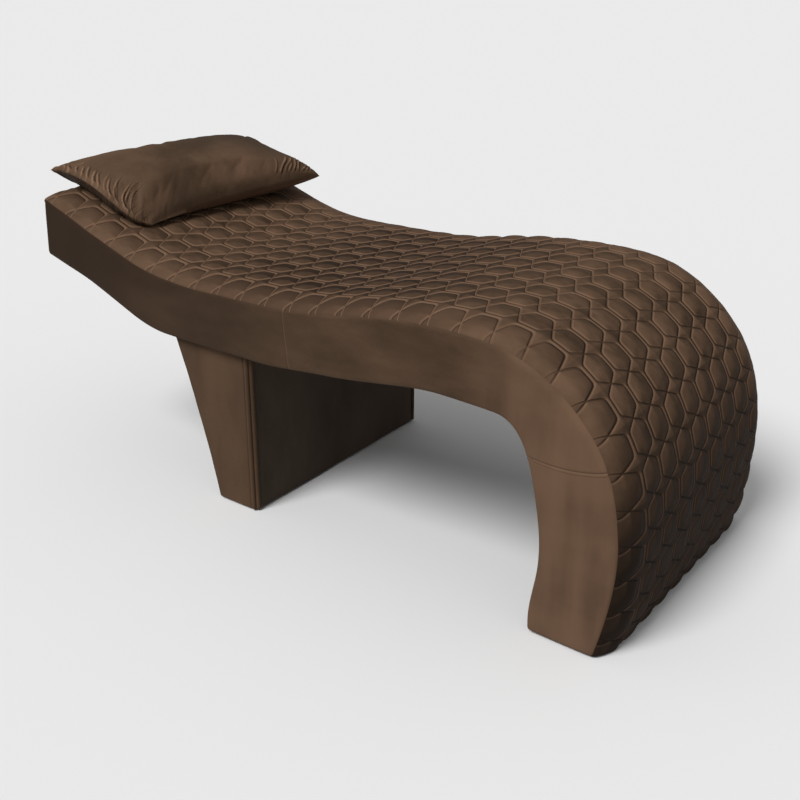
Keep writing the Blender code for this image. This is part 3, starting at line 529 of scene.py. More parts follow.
def quiltedTop():
    q, half, radius = quilt, bedLines["halfWidth"], bedLines["edgeRadius"]
    along = np.arange(seamStep, deck.length - seamStep, q["pitch"] / q["stepsPerPitch"])
    endSteps = radius * np.array([0.42, 0.58, 0.78])
    along = np.unique(np.r_[along, endSteps, deck.length - endSteps, deck.length - seamStep])
    across = np.linspace(0, half - seamStep, int(half / (q["row"] / q["stepsPerPitch"])))
    across = np.unique(np.r_[across, half - endSteps]) / (half - seamStep)
    across = np.r_[-across[:0:-1], across]
    edgeRound = topRadius(along)[:, None]
    u, v = grid(along, across)
    v = v * (half - seamShare * edgeRound)
    fromEdge = half - np.abs(v)
    ends = np.minimum(1, 0.45 + 0.55 * np.sqrt(np.clip(u / q["headRise"], 0, 1)))
    toe = np.exp(-((deck.length - q["toePlace"] - u) / q["toeReach"]) ** 2)
    toe = toe * np.clip(fromEdge / 0.05, 0, 1) ** 0.6
    pulled = np.clip(fromEdge / q["edgeFade"], 0.12, 1)
    height = crownHeight(v) * ends + quiltHeight(u, v) * pulled + q["toeBulge"] * toe
    height -= rollIn(fromEdge, edgeRound) + rollBoth(u, deck.length, radius)
    # a skirt one row deep on every side closes the pad behind the neighbouring covers; along the sides it
    # follows the round edge on, to a point 75 degrees round it, just inside the side covers
    height, u, v = (np.pad(values, 1, mode="edge") for values in (height, u, v))
    edgeRound = np.pad(edgeRound[:, 0], 1, mode="edge")
    for edge, way in ((0, -1), (-1, 1)):
        height[:, edge] = -0.741 * edgeRound
        v[:, edge] = way * (half - 0.034 * edgeRound - 0.0012)
    height[[0, -1]] = -q["skirt"]
    u[0] += q["skirtIn"]
    u[-1] -= q["skirtIn"]
    front = deck.lifted(u, v, height)
    front[..., 2] = np.maximum(front[..., 2], bedLines["hem"])
    uv = np.stack([u, patternAcross(v)], -1)
    piece = padPiece("quiltedTop", front, quiltPaint(), (0, 0, 1), uv)
    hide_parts("quilted_cover")
    print("quilted top", len(piece.data.polygons), "faces")


# Side covers: one padded skin each side, with the head, middle and leg panels seamed together

sides = {
    "deckRuns": (0.0, 0.860, 1.36, 1.790),
    "underRuns": (0.0, 0.887, 1.345, 1.565),
    "inset": 0.0004,
    "tuck": 0.004,
    "puff": 0.0022,
    "uneven": 0.0009,
    "seamDepth": 0.0012,
    "seamWidth": 0.0028,
    "legSag": 0.012,
    "legSeamBack": 0.0065,
    "pucker": 0.0007,
    "puckerReach": 0.016,
    "hemLine": 0.0085,
    "hemWidth": 0.0016,
    "hemDepth": 0.0009,
    "railDarker": (-0.10, 1.20),
    "legLighter": (1.28, 1.74),
    "perDepth": 5.6,
    "crease": (0.0005, 0.0018),
    "stitchRow": (0.0004, 0.0013),
    "stitch": 0.006,
}


def sidePaint():
    # plain velvet, darker along the rail towards the head and lighter down the leg; UV is run and depth in
    # metres
    s = sides
    paint = velvetPaint("side velvet", velvetTone("mid", 0.81), velvetTone("mid", 1.07), velvetTone("mid", 0.58),
                        3.2, (1.0, 1.0, 2.4), 0.12)
    run, depth = paint.uv()
    uneven = paint.nap - 0.5
    streak = paint.noise(paint.stretch(paint.at, (9, 9, 1.6)), 1.6, 3.0, 0.5)
    # darker along the rail towards the head
    paint.tint(0.98 - paint.smooth(run + uneven * 0.3, *s["railDarker"]) * 0.98, velvetTone("deep", 0.62))
    # lighter down the leg, with streaks
    gradient = paint.smooth(run + uneven * 0.22 + depth * 0.35, *s["legLighter"])
    stops = (0.34, velvetTone("light", 0.76)), (0.50, velvetTone("light", 1.04)), (0.66, velvetTone("light", 1.20))
    paint.colour = paint.mix(gradient, paint.colour, paint.ramp(streak * 0.6 + paint.nap * 0.4, stops))
    share = depth * s["perDepth"]
    # the straight seam, and the sagging leg seam with a row of stitches behind it
    seams = (s["deckRuns"][1], 0.0, 0.0), (s["deckRuns"][3], s["legSag"], s["legSeamBack"])
    for seam, sag, back in seams:
        past = run - share * (1 - share) * (4 * sag) - seam
        crease = 1 - paint.smooth(abs(past), *s["crease"])
        paint.tint(crease * 0.4, velvetTone("light", 0.6 if back else 1.2))
        paint.normal = paint.bump(0 - crease, 0.6, 0.0012, paint.normal)
        if back:
            row = 1 - paint.smooth(abs(past - back), *s["stitchRow"])
            paint.tint(row * 0.4, velvetTone("deep", 0.8))
            paint.normal = paint.bump(row * depth.ripple(s["stitch"]), 0.5, 0.0012, paint.normal)
    return paint.close()


def sideCover(side, way, paint):
    s, half, radius = sides, bedLines["halfWidth"], bedLines["edgeRadius"]
    last = deck.length - 0.0005
    seams = np.array([s["deckRuns"][1], s["deckRuns"][3], s["deckRuns"][3] + s["legSag"]])
    close = np.array([-0.012, -0.007, -0.004, -0.002, 0, 0.002, 0.004, 0.007, 0.012])
    rounds = radius * np.array([0.3, 0.42, 0.58, 0.78, 1.0, 1.3])
    runs = np.unique(np.r_[np.linspace(radius * 1.6, last - radius, 340), rounds, last - rounds[:-1],
                           (seams[:, None] + close).ravel()])
    underRun = np.interp(runs, (*s["deckRuns"], last), (*s["underRuns"], under.length - 0.0005))
    top, bottom = deck.at(runs), under.at(underRun)
    span = np.linalg.norm(bottom - top, axis=1)
    upper = topRadius(runs)
    depth = edgeSteps(span, radius, 22, seamShare, upper)
    share = depth / span[:, None]
    toHem = span[:, None] - depth
    run = np.broadcast_to(runs[:, None], depth.shape)
    flat = top[:, None] + (bottom - top)[:, None] * share[..., None]
    # outward place: round edges, a little padding, and grooves at the seams with puckers beside them
    inset = rollIn(depth, upper[:, None]) + rollIn(toHem, radius) + rollBoth(run, last, radius)
    legSeam = s["deckRuns"][3] + 4 * s["legSag"] * share * (1 - share)
    groove = sum(np.exp(-((run - seam) / s["seamWidth"]) ** 2) for seam in (s["deckRuns"][1], legSeam))
    beside = np.abs(run - legSeam)
    gathered = s["pucker"] * np.exp(-beside / s["puckerReach"]) * (beside > 0.002)
    pucker = gathered * np.sin(math.tau * (share * 11 + run * 22))
    hemGroove = s["hemDepth"] * np.exp(-((toHem - s["hemLine"]) / s["hemWidth"]) ** 2)
    uneven = s["uneven"] * waves(flat[..., 0], flat[..., 1], 11, 0.22)
    out = half - s["inset"] - inset + s["puff"] * bulge(share) - s["seamDepth"] * groove
    out = out + pucker - hemGroove + uneven
    front = np.stack([flat[..., 0], way * out, flat[..., 1]], -1)
    # the borders turn in behind the face, so that the neighbours close over them
    front = np.pad(front, ((0, 0), (1, 1), (0, 0)), mode="edge")
    front[:, [0, -1], 1] -= way * s["tuck"]
    uv = np.pad(np.stack([run, depth], -1), ((0, 0), (1, 1), (0, 0)), mode="edge")
    piece = padPiece("sideCover" + side.capitalize(), front, paint, (0, way, 0), uv)
    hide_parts(*(f"side_cover_{side}_{panel}" for panel in ("head", "middle", "leg")))


# Head end panel and the lining under the bed

headPanel = {
    "inset": 0.0008,
    "puff": 0.002,
    "uneven": 0.0008,
}

lining = {
    "margin": 0.0065,
    "endMargin": 0.006,
    "edge": 0.003,
    "inset": 0.0009,
    "ripple": 0.0007,
    "landing": (0.432, 0.710),  # flat where the pedestal stands against it
    "thread": 0.0016,
    "dark": (0.020, 0.016, 0.014),
    "pale": (0.040, 0.032, 0.027),
}


def headEnd():
    p, half, radius = headPanel, bedLines["halfWidth"], bedLines["edgeRadius"]
    top, bottom = deck.at(np.array(0.0)), under.at(np.array(0.0))
    span = np.linalg.norm(bottom - top)
    way = (bottom - top) / span
    out = np.array([way[1], -way[0]])
    depth = edgeSteps(span - seamStep * 0.2, radius, 14, seamShare)
    d, c = grid(depth, edgeSteps(2 * half, radius, 60, seamShare))
    place = p["puff"] * bulge(d / span) * bulge(c / 2 / half) + p["uneven"] * waves(d, c, 21, 0.2)
    place = place - p["inset"] - rollBoth(d, span, radius) - rollBoth(c, 2 * half, radius)
    x, z = (top[k] + way[k] * d + out[k] * place for k in range(2))
    front = np.stack([x, c - half, z], -1)
    paint = velvetPaint("head end velvet", velvetTone("mid", 0.84), velvetTone("mid", 1.10), velvetTone("mid", 0.62),
                        3.2, (1, 1, 2.4))
    piece = padPiece("headEnd", front, paint.close(), (-1, 0, 0))
    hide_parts("head_end_cover")


def liningPaint():
    # plain woven lining: two sets of crossing threads
    paint = Paint("lining cloth", {"Specular IOR Level": 0.2})
    along, across = paint.uv()
    weave = along.ripple(lining["thread"]) * across.ripple(lining["thread"])
    wearAndLight = paint.noise(paint.place(), 7.0, 4.0, 0.6)
    paint.colour = paint.ramp(wearAndLight, ((0.3, lining["dark"]), (0.7, lining["pale"])))
    paint.rough = wearAndLight * 0.2 + 0.75
    paint.normal = paint.bump(weave, 0.3, 0.0004, paint.bump(wearAndLight, 0.2, 0.003))
    return paint.close()


def underside():
    n = lining
    width = bedLines["halfWidth"] - n["margin"]
    run = np.linspace(n["endMargin"], under.length - n["endMargin"], 420)
    u, c = grid(run, edgeSteps(2 * width, n["edge"], 40, 0.0))
    start, end = (under.runAtX(x) for x in n["landing"])
    ripple = n["ripple"] * waves(u, c, 31, 0.12) * np.clip(np.minimum(c, 2 * width - c) / 0.05, 0, 1)
    inward = n["inset"] + rollBoth(c, 2 * width, n["edge"])
    inward = inward + np.where((u > start) & (u < end), 0, np.abs(ripple))
    front = under.lifted(u, c - width, inward)
    piece = padPiece("undersideLining", front, liningPaint(), (0, 0, -1), np.stack([u, c], -1))
    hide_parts("underside_cover")
    print("side, head and underside covers")


# Pedestal covers and the double welts on its foot-side corners

pedestal = {
    "halfWidth": 0.350,
    "headFloor": 0.568,
    "headTop": 0.440,
    "bow": 0.008,
    "foot": 0.702,
    "top": 0.4365,
    "bedLine": 0.437,
    "radius": 0.007,
    "hemRound": 0.6,
    "weltRound": 0.7,
    "inset": 0.001,
    "sidePuff": 0.002,
    "endPuff": 0.0015,
    "uneven": 0.0006,
    "coverStop": 0.0182,
    "welt": 0.0062,
    "weltGroove": math.radians(24),
    "weltPlace": 0.00785,
    "weltFoot": 0.006,
    "weltWobble": 0.0003,
    "sideColour": (0.103, 0.061, 0.036),
    # the velvet's colour with the greyer tone of the shade on the end faces painted in
    "endColourWithShade": (0.095, 0.070, 0.052),
}


def pedestalHeadX(height):
    # x of the head-side face: a straight lean with a parabolic hollow
    p = pedestal
    share = (height - bedLines["hem"]) / (p["bedLine"] - bedLines["hem"])
    lean = (p["headTop"] - p["headFloor"]) * share
    return headX + p["headFloor"] + lean + 4 * p["bow"] * share * (1 - share)


def pedestalPaint(name, colour):
    # velvet with the nap brushed up and down
    return velvetPaint(name, colour, shade(colour, 1.22), shade(colour, 0.70), 2.6, (2.2, 2.2, 0.8)).close()


def pedestalCover(side, front, paint, outward):
    piece = padPiece("pedestalCover" + side.capitalize(), front, paint, outward)
    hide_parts(f"pedestal_cover_{side}")


def pedestalCovers():
    p, radius, half = pedestal, pedestal["radius"], pedestal["halfWidth"]
    low, hemRadius, weltRadius = bedLines["hem"], radius * p["hemRound"], radius * p["weltRound"]
    height = low + edgeSteps(p["top"] - low, hemRadius, 44, 0.0)
    hems = rollIn(height - low, hemRadius)[:, None]
    light = pedestalPaint("pedestal velvet", p["sideColour"])
    # the end faces get a greyer copy of the velvet: the tone of the shade on them, painted in
    dark = pedestalPaint("pedestal end velvet", p["endColourWithShade"])
    left = pedestalHeadX(height)
    span = headX + p["foot"] - p["coverStop"] - left
    wide = edgeSteps(span, radius, 24, seamShare)
    wide[:, -1] = span + 0.001  # the last column goes in behind the welt
    x, z = np.broadcast_arrays(left[:, None] + wide, height[:, None])
    inset = rollIn(wide, radius) + rollIn(span[:, None] - wide, weltRadius) + hems
    puff = p["sidePuff"] * bulge(wide / span[:, None]) + p["uneven"] * waves(x, z, 41, 0.14)
    for side, way in (("near", -1), ("far", 1)):
        front = np.stack([x, way * (half - p["inset"] + puff - inset), z], -1)
        pedestalCover(side, front, light, (0, way, 0))
    ends = (("head", -1, half, radius, seamShare, 43),
            ("foot", 1, half - p["coverStop"], weltRadius, 0.0, 44))
    for side, way, half, roll, seam, seed in ends:
        h, c = grid(height, edgeSteps(2 * half, radius, 60, seam))
        face = pedestalHeadX(h) if side == "head" else headX + p["foot"]
        puff = p["endPuff"] * bulge(c / 2 / half) + p["uneven"] * waves(h, c, seed, 0.14)
        x = face + way * (puff - p["inset"] - rollBoth(c, 2 * half, roll) - hems)
        pedestalCover(side, np.stack([x, c - half, h], -1), dark, (way, 0, 0))
    welts(light, height)


def welts(paint, height):
    # two round ridges side by side, an outline carried up the corner and drawn in at its foot
    p = pedestal
    half = p["welt"] * math.cos(p["weltGroove"])
    angle = np.linspace(-math.pi / 2 - p["weltGroove"], math.pi - p["weltGroove"], 22)
    right = np.stack([half + p["welt"] * np.cos(angle), p["welt"] * np.sin(angle)], -1)
    outline = np.vstack([right, right[-2::-1] * (-1, 1)])
    turn = math.sqrt(0.5)
    drawn = 1 - rollIn(height - bedLines["hem"], p["weltFoot"]) / p["weltFoot"] * 0.6
    wobble = p["weltWobble"] * waves(height, 0 * height, 47, 0.05)
    along, out = outline[:, 0] * drawn[:, None], outline[:, 1] * drawn[:, None] + wobble[:, None]
    for side, way in (("near", -1), ("far", 1)):
        x = headX + p["foot"] - p["weltPlace"] + turn * (along + out)
        y = way * (p["halfWidth"] - p["weltPlace"] - turn * (along - out))
        front = np.stack([x, y, np.broadcast_to(height[:, None], x.shape)], -1)
        piece = padPiece("cornerWelt" + side.capitalize(), front, paint, (1, way, 0))
        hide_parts(f"corner_welt_{side}")
    print("pedestal covers and welts")


# Foam pad under the quilting

foam = {
    "sideGap": 0.0095,
    "headGap": 0.022,
    "footGap": 0.008,
    "edge": 0.008,
    "below": 0.0135,
    "bottom": 0.050,
    "dark": (0.66, 0.60, 0.42),
    "pale": (0.78, 0.72, 0.54),
    "cellScale": 420.0,
}


def foamPaint():
    # open cells over a soft change of tone
    paint = Paint("foam", {"Specular IOR Level": 0.2})
    at = paint.place()
    cells = paint.node("TexVoronoi", None, {"Vector": at, "Scale": foam["cellScale"]})
    paint.colour = paint.ramp(paint.noise(at, 12.0, 3.0, 0.5), ((0.3, foam["dark"]), (0.7, foam["pale"])))
    paint.rough = cells * 0.1 + 0.85
    paint.normal = paint.bump(cells, 0.5, 0.001)
    return paint.close()


def foamPad():
    f = foam
    half = bedLines["halfWidth"] - f["sideGap"]
    run = np.linspace(f["headGap"], deck.length - f["footGap"], 180)
    u, c = grid(run, edgeSteps(2 * half, f["edge"], 24, 0.0))
    height = -(f["below"] + rollBoth(c, 2 * half, f["edge"]))
    u, c, height = (np.pad(values, ((0, 0), (1, 1)), mode="edge") for values in (u, c, height))
    height[:, [0, -1]] = -f["bottom"]
    piece = padPiece("foamPad", deck.lifted(u, c - half, height), foamPaint(), (0, 0, 1))
    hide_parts("foam_pad")


# Pillow: a knife-edge cushion that lies on the slope, creased at its ends

pillow = {
    "seat": (0.133, 0.6736),
    "slope": math.atan2(0.067, 0.209),
    "across": 0.016,
    "turn": math.radians(-4.9),
    "halfDepth": 0.162,
    "halfLength": 0.346,
    "seam": 0.053,
    "crown": 0.080,
    "headFullness": 0.26,
    "footFullness": (0.40, -0.08),  # and its change towards the far end
    "nearFullness": (0.46, -0.20),  # and its change towards the head
    "farFullness": (0.38, -0.12),  # and its change towards the foot
    "belly": 1.3,
    "endBelly": 0.50,
    "drawIn": 0.14,
    "endDrawIn": 0.050,
    "droop": 0.024,
    "rise": 0.034,
    "endLift": 0.033,
    "tip": 0.018,
    "tuck": 0.22,
    "cornerRound": 0.091,
    "cornerThin": 0.6,
    "floor": 0.0268,
    "zipSeat": 0.003,
    "step": 0.005,
    "insertGap": 0.016,
    "insertStep": 0.012,
    "pressure": 3.0,
    "spread": -0.012,
    "cap": 0.008,
    "frames": 20,
    "soft": 0.0007,
    "sheen": 0.025,
}

pillowFolds = {  # places along the seams are shares, from first to last and how many
    "corners": 5,
    "near": (-0.85, 0.50, 11),
    "bundle": (0.58, 0.80, 5),
    "nearWay": 2.60,
    "nearBend": 4.6,
    "far": (0.58, 0.93, 9),
    "farWay": 2.40,
    "depth": 0.0034,
    "length": 0.110,
    "width": 0.0030,
    "lip": 0.55,
    "start": 0.012,
    "fade": 0.4,
    "wave": 0.0011,
    "waveRun": 0.010,
    "limits": (-0.006, 0.005),
}


def pillowFrame(a, b, n):
    # down the slope, across the bed and up from the deck
    p = pillow
    x = headX + p["seat"][0] + a * math.cos(p["slope"]) + n * math.sin(p["slope"])
    z = p["seat"][1] - a * math.sin(p["slope"]) + n * math.cos(p["slope"])
    return np.stack([x, p["across"] + b, z], -1)


def deckUnderPillow(a):
    # how far the deck stands above the pillow's own slope line, a steps down that line
    x = headX + pillow["seat"][0] + a * math.cos(pillow["slope"])
    line = pillow["seat"][1] - a * math.sin(pillow["slope"])
    return (np.interp(x, deck.points[:600, 0], deck.points[:600, 1]) - line) * math.cos(pillow["slope"])


def pillowSurface(shareA, shareB, upper, shrink):
    # an outline drawn in between its corners, a crown above its seam and a belly that flattens on the deck
    p = pillow
    footward, headward = np.clip(shareA, 0, 1), np.clip(-shareA, 0, 1)
    farward, nearward = np.clip(shareB, 0, 1), np.clip(-shareB, 0, 1)
    nearFoot = (1 + shareA) / 2 * (1 - shareB) / 2
    farFoot = (1 + shareA) / 2 * (1 + shareB) / 2
    draw = p["drawIn"] * (1 - np.abs(shareB) ** np.where(shareA < 0, 6, 2))
    a = (p["halfDepth"] - shrink) * shareA * (1 - draw) * (1 - p["cornerRound"] * nearFoot ** 8)
    a = a - p["zipSeat"] * np.clip(-10 * shareA - 9, 0, 1)
    b = (p["halfLength"] - 2 * shrink) * shareB * (1 - p["endDrawIn"] * (1 - shareA ** 2))
    b = b * (1 - p["tuck"] * nearFoot ** 4 - p["cornerRound"] * nearFoot ** 10 + p["tip"] * farFoot ** 10)
    foot, near, far = (p[key][0] + p[key][1] * toward ** 2 for key, toward in (
        ("footFullness", farward), ("nearFullness", headward), ("farFullness", footward)))
    fullness = np.where(shareA < 0, p["headFullness"], foot)
    endFullness = np.where(shareB < 0, near, far)
    roof = np.clip(1 - shareA ** 2, 0, 1) ** fullness
    room = np.clip(1 - shareB ** 2, 0, 1)
    seam = p["seam"] - p["droop"] * nearFoot ** 2 + p["rise"] * farFoot ** 2
    seam = seam + p["endLift"] * nearward ** 10 * (1 - shareA ** 2)
    down = math.cos(p["turn"]) * a - math.sin(p["turn"]) * b
    across = math.sin(p["turn"]) * a + math.cos(p["turn"]) * b
    if upper:
        dome = roof * room ** endFullness * (1 - p["cornerThin"] * (shareA * shareB) ** 12)
        return pillowFrame(down, across, seam + (p["crown"] - shrink) * dome)
    belly = seam - (p["seam"] - shrink) * np.minimum(1, p["belly"] * roof * room ** p["endBelly"])
    floor = p["floor"] + shrink / 2 + np.maximum(deckUnderPillow(down), 0)
    return pillowFrame(down, across, np.maximum(np.minimum(floor, seam), belly))


def pillowMesh(shrink, step):
    # upper and lower grids that share their border, closer together at it, with the two shares kept as UV
    rows = 2 * int(pillow["halfDepth"] / step) + 1
    across = 2 * int(pillow["halfLength"] / step) + 1
    a = np.linspace(-1, 1, rows)
    b = np.linspace(-1, 1, across)
    a = 0.75 * a + 0.25 * np.sin(a * math.pi / 2)
    b = 0.55 * b + 0.45 * np.sin(b * math.pi / 2)
    shareA, shareB = grid(a, b)
    index = np.arange(rows * across).reshape(rows, across)
    mirrored = index + rows * across
    rim = np.ones((rows, across), bool)
    rim[1:-1, 1:-1] = False
    mirrored[rim] = index[rim]
    low = mirrored[:-1, :-1], mirrored[:-1, 1:], mirrored[1:, 1:], mirrored[1:, :-1]
    faces = np.vstack([gridFaces(rows, across), np.stack(low, -1).reshape(-1, 4)])
    panels = [pillowSurface(shareA, shareB, upper, shrink) for upper in (True, False)]
    points = np.vstack(panels).reshape(-1, 3)
    shares = np.tile(np.stack([shareA, shareB], -1).reshape(-1, 2), (2, 1))
    used, faces = np.unique(faces, return_inverse=True)
    return points[used], faces.reshape(-1, 4), shares[used]


def pillowPaint():
    # velvet with strong nap patches; UV is the share down the slope and the share across
    p = pillow
    paint = velvetPaint("pillow velvet", velvetTone("mid", 1.08), velvetTone("light", 1.06), velvetTone("mid", 0.66),
                        5.0, (1, 1, 1), 0.14, p["sheen"])
    a, b = paint.uv()
    uneven = paint.nap - 0.5
    # darker towards the far head corner and a little towards the front, lighter at the near end
    gradient = paint.smooth(b * 0.60 - a * 0.45 + uneven * 1.3, -0.20, 0.90)
    front = paint.smooth(a + uneven * 0.5, 0.28, 0.80)
    paint.tint((gradient * 0.72).atLeast(front * 0.12), velvetTone("deep", 0.66))
    # painted shade on faces turned towards the far head side, away from the light
    turned = paint.smooth(paint.attribute("away") + uneven * 0.10, 0.0, 0.30)
    paint.tint(turned * 0.45, velvetTone("deep", 0.55))
    near = 1 - paint.smooth(b + uneven * 0.8, -1.0, -0.3)
    paint.tint(near * 0.25, velvetTone("light", 1.25))
    # the lower panel gets painted shade at the near end and painted light at the foot side
    below = paint.attribute("under")
    paintedShadeBelow = below * (1 - paint.smooth(b, -0.95, -0.45))
    paint.tint(paintedShadeBelow * 0.7, velvetTone("deep", 0.45))
    paintedLightBelow = below * paint.smooth(a, 0.40, 0.90) * (1 - paintedShadeBelow)
    paint.tint(paintedLightBelow * 0.8, velvetTone("light", 1.45))
    # painted highlight along the lips of the creases and painted shade in their valleys
    fold = paint.attribute("crease")
    paint.tint(paint.smooth(fold, 0.03, 0.36) * 0.80, velvetTone("light", 1.9))
    paint.tint(paint.smooth(0 - fold, 0.05, 0.60) * 0.70, velvetTone("deep", 0.4))
    # fine gathers: noise drawn out along the pillow and faded away from the short seams
    drawn = b * (p["halfLength"] * 0.13) + a * a * 0.05
    gather = paint.noise(paint.node("CombineXYZ", None, {0: a * p["halfDepth"], 1: drawn}), 95.0, 3.0, 0.55)
    seamward = 1 - paint.smooth((1 - abs(b)) * p["halfLength"] + paint.nap * 0.06, 0.012, 0.125)
    paint.normal = paint.bump(gather * seamward, 0.7, 0.009, paint.normal)
    return paint.close()


def inflate(piece, rim):
    # cloth under pressure, a little larger than its shape so that it creases, held at its seam
    p = pillow
    rest = read(piece.data.vertices, "co", 3).astype(float)
    pins = piece.vertex_groups.new(name="seam")
    pins.add(np.nonzero(rim)[0].tolist(), 1.0, "REPLACE")
    cloth = piece.modifiers.new("fill", "CLOTH")
    cloth.settings.vertex_group_mass = "seam"
    cloth.settings.use_pressure = True
    cloth.settings.uniform_pressure_force = p["pressure"]
    cloth.settings.shrink_min = p["spread"]
    cloth.settings.effector_weights.gravity = 0
    cloth.settings.quality = 6
    cloth.settings.bending_stiffness = 0.05
    cloth.point_cache.frame_end = p["frames"]
    for step in range(1, p["frames"] + 1):
        scene.frame_set(step)
    moved = piece.evaluated_get(bpy.context.evaluated_depsgraph_get()).data
    shift = read(moved.vertices, "co", 3) - rest
    length = np.linalg.norm(shift, axis=1, keepdims=True)
    shift *= np.minimum(1, p["cap"] / np.maximum(length, 1e-9))
    piece.modifiers.remove(cloth)
    piece.vertex_groups.remove(pins)
    scene.frame_set(1)
    piece.data.vertices.foreach_set("co", (rest + shift).astype(np.float32).ravel())
    piece.data.update()


def refine(piece, rim):
    # one subdivision, kept in the mesh, that leaves the seam where it is
    ends = read(piece.data.edges, "vertices", 2, np.int32)
    held = piece.data.attributes.new("crease_edge", "FLOAT", "EDGE")
    held.data.foreach_set("value", rim[ends].all(1).astype(np.float32))
    finer = piece.modifiers.new("finer", "SUBSURF")
    finer.levels = finer.render_levels = 1
    mesh = bpy.data.meshes.new_from_object(piece.evaluated_get(bpy.context.evaluated_depsgraph_get()))
    piece.modifiers.remove(finer)
    piece.data = mesh


def creases():
    # start, way, length, width, bend and depth of each crease: a few run in from the seams at two corners,
    # a row sweeps in from the near seam with a bundle at its foot end, and a row climbs from the foot seam
    p, f = pillow, pillowFolds
    pick = np.random.default_rng(17)
    rows = []
    for signA, signB in ((-1, -1), (1, 1)):
        for number in range(f["corners"]):
            onShort = number < 0.7 * f["corners"]
            back = abs(pick.normal(0, 0.062 if onShort else 0.045)) + 0.004
            startA = signA * (p["halfDepth"] - (back if onShort else 0.004))
            startB = signB * (p["halfLength"] - (0.004 if onShort else back))
            aim = math.atan2(-startB * 0.75, -startA * 0.9)
            straight = math.atan2(-signB, 0) if onShort else math.atan2(0, -signA)
            way = straight + 0.55 * math.sin(aim - straight) + pick.normal(0, 0.10)
            rows.append((startA, startB, way, pick.uniform(0.25, 0.6), pick.uniform(0.6, 1.1),
                         pick.normal(0, 2.2), pick.uniform(0.2, 0.45)))
    for startA in np.concatenate([np.linspace(*f["near"]), np.linspace(*f["bundle"])]):
        startA += pick.uniform(-0.03, 0.03)
        length = np.interp(startA, (-0.85, -0.3, 0.3, 0.75), (0.22, 0.50, 0.78, 1.15))
        length = length * pick.uniform(0.7, 1.1)
        rows.append((startA * p["halfDepth"], 0.003 - p["halfLength"], f["nearWay"] + pick.normal(0, 0.08),
                     length, pick.uniform(0.55, 0.85), f["nearBend"] + pick.normal(0, 0.5),
                     pick.uniform(0.5, 1.0)))
    for startB in np.linspace(*f["far"]):
        startB += pick.uniform(-0.01, 0.01)
        length = np.interp(startB, (0.6, 0.75, 0.93), (0.90, 0.85, 0.30)) * pick.uniform(0.75, 1.1)
        rows.append((0.97 * p["halfDepth"], startB * p["halfLength"], f["farWay"] + pick.normal(0, 0.07),
                     length, pick.uniform(0.6, 0.9), pick.normal(0, 1.0), pick.uniform(0.6, 0.95)))
    return rows


def creaseHeight(a, b):
    # each crease is a valley with a raised lip, deepest near its start and fading along its length
    f = pillowFolds
    total = np.zeros(a.shape)
    for startA, startB, way, length, width, bend, depth in creases():
        width = width * f["width"]
        along = (a - startA) * math.cos(way) + (b - startB) * math.sin(way)
        cross = (b - startB) * math.cos(way) - (a - startA) * math.sin(way) + bend * along ** 2
        cross += f["wave"] * np.sin(along / f["waveRun"] + 900 * startA + 700 * startB)
        share = np.clip(along / (length * f["length"]), 0, 1)
        fade = np.clip(along / f["start"], 0, 1) * np.clip((1 - share) / f["fade"], 0, 1)
        lip = f["lip"] * np.exp(-((cross - 1.7 * width) / (1.4 * width)) ** 2)
        total += f["depth"] * depth * (lip - np.exp(-(cross / width) ** 2)) * fade
    return np.clip(total, *f["limits"])


def crease(piece):
    # folds above and a soft unevenness, along the normals; what the paint reads is kept as attributes
    p, mesh = pillow, piece.data
    shares = np.zeros((len(mesh.vertices), 2))
    shares[read(mesh.loops, "vertex_index", kind=np.int32)] = read(mesh.uv_layers[0].data, "uv", 2)
    out = read(mesh.vertex_normals, "vector", 3)
    a, b = shares[:, 0] * p["halfDepth"], shares[:, 1] * p["halfLength"]
    soft = p["soft"] * waves(a, b, 64, 0.10) * np.clip((1 - np.abs(shares).max(1)) / 0.15, 0, 1)
    up = out @ (math.sin(p["slope"]), 0, math.cos(p["slope"]))
    folds = creaseHeight(a, b) * np.clip(1 + 4 * up, 0, 1)
    place = read(mesh.vertices, "co", 3) + out * (folds + soft)[:, None]
    mesh.vertices.foreach_set("co", place.astype(np.float32).ravel())
    marks = {"crease": folds / pillowFolds["depth"], "under": np.clip(-4 * up, 0, 1),
             "away": out @ (-0.6, 0.8, 0)}
    for name, values in marks.items():
        kept = mesh.attributes.new(name, "FLOAT", "POINT")
        kept.data.foreach_set("value", values.astype(np.float32))
    mesh.update()
    mesh.set_sharp_from_angle(angle=sharpEdge)


def pillowPieces():
    points, faces, shares = pillowMesh(0.0, pillow["step"])
    piece = newPiece("pillowCover", points, faces, pillowPaint(), "pillow", uv=shares)
    rim = np.abs(shares).max(1) > 0.9999
    inflate(piece, rim)
    refine(piece, rim)
    crease(piece)
    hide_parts("pillow_top_panel", "pillow_bottom_panel")
    points, faces, shares = pillowMesh(pillow["insertGap"], pillow["insertStep"])
    paint = grainPaint("pillow fill", {"Specular IOR Level": 0.2}, (0.74, 0.72, 0.68), (0.86, 0.85, 0.81),
                       (40.0, 4.0, 0.6), (0.85, 0.1), (0.4, 0.003))
    insert = newPiece("pillowInsert", points, faces, paint, "pillow")
    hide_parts("pillow_insert")
    print("pillow", len(piece.data.vertices), "points")


# Finishes of the pillow's filling and of the CAD nodes that stay

def grainPaint(name, fixed, dark, pale, noise, rough, bump):
    # one noise carried into the colour, the roughness and the bump
    paint = Paint(name, fixed)
    grain = paint.noise(paint.place(), *noise)
    paint.colour = paint.ramp(grain, ((0.3, dark), (0.7, pale)))
    paint.rough = grain * rough[1] + rough[0]
    paint.normal = paint.bump(grain, *bump)
    return paint.close()


def metalPaint(name, colour, dull):
    return grainPaint(name, {"Metallic": 1.0}, shade(colour, 0.78), colour,
                      (320.0, 4.0, 0.6), (dull, 0.25), (0.15, 0.0003))


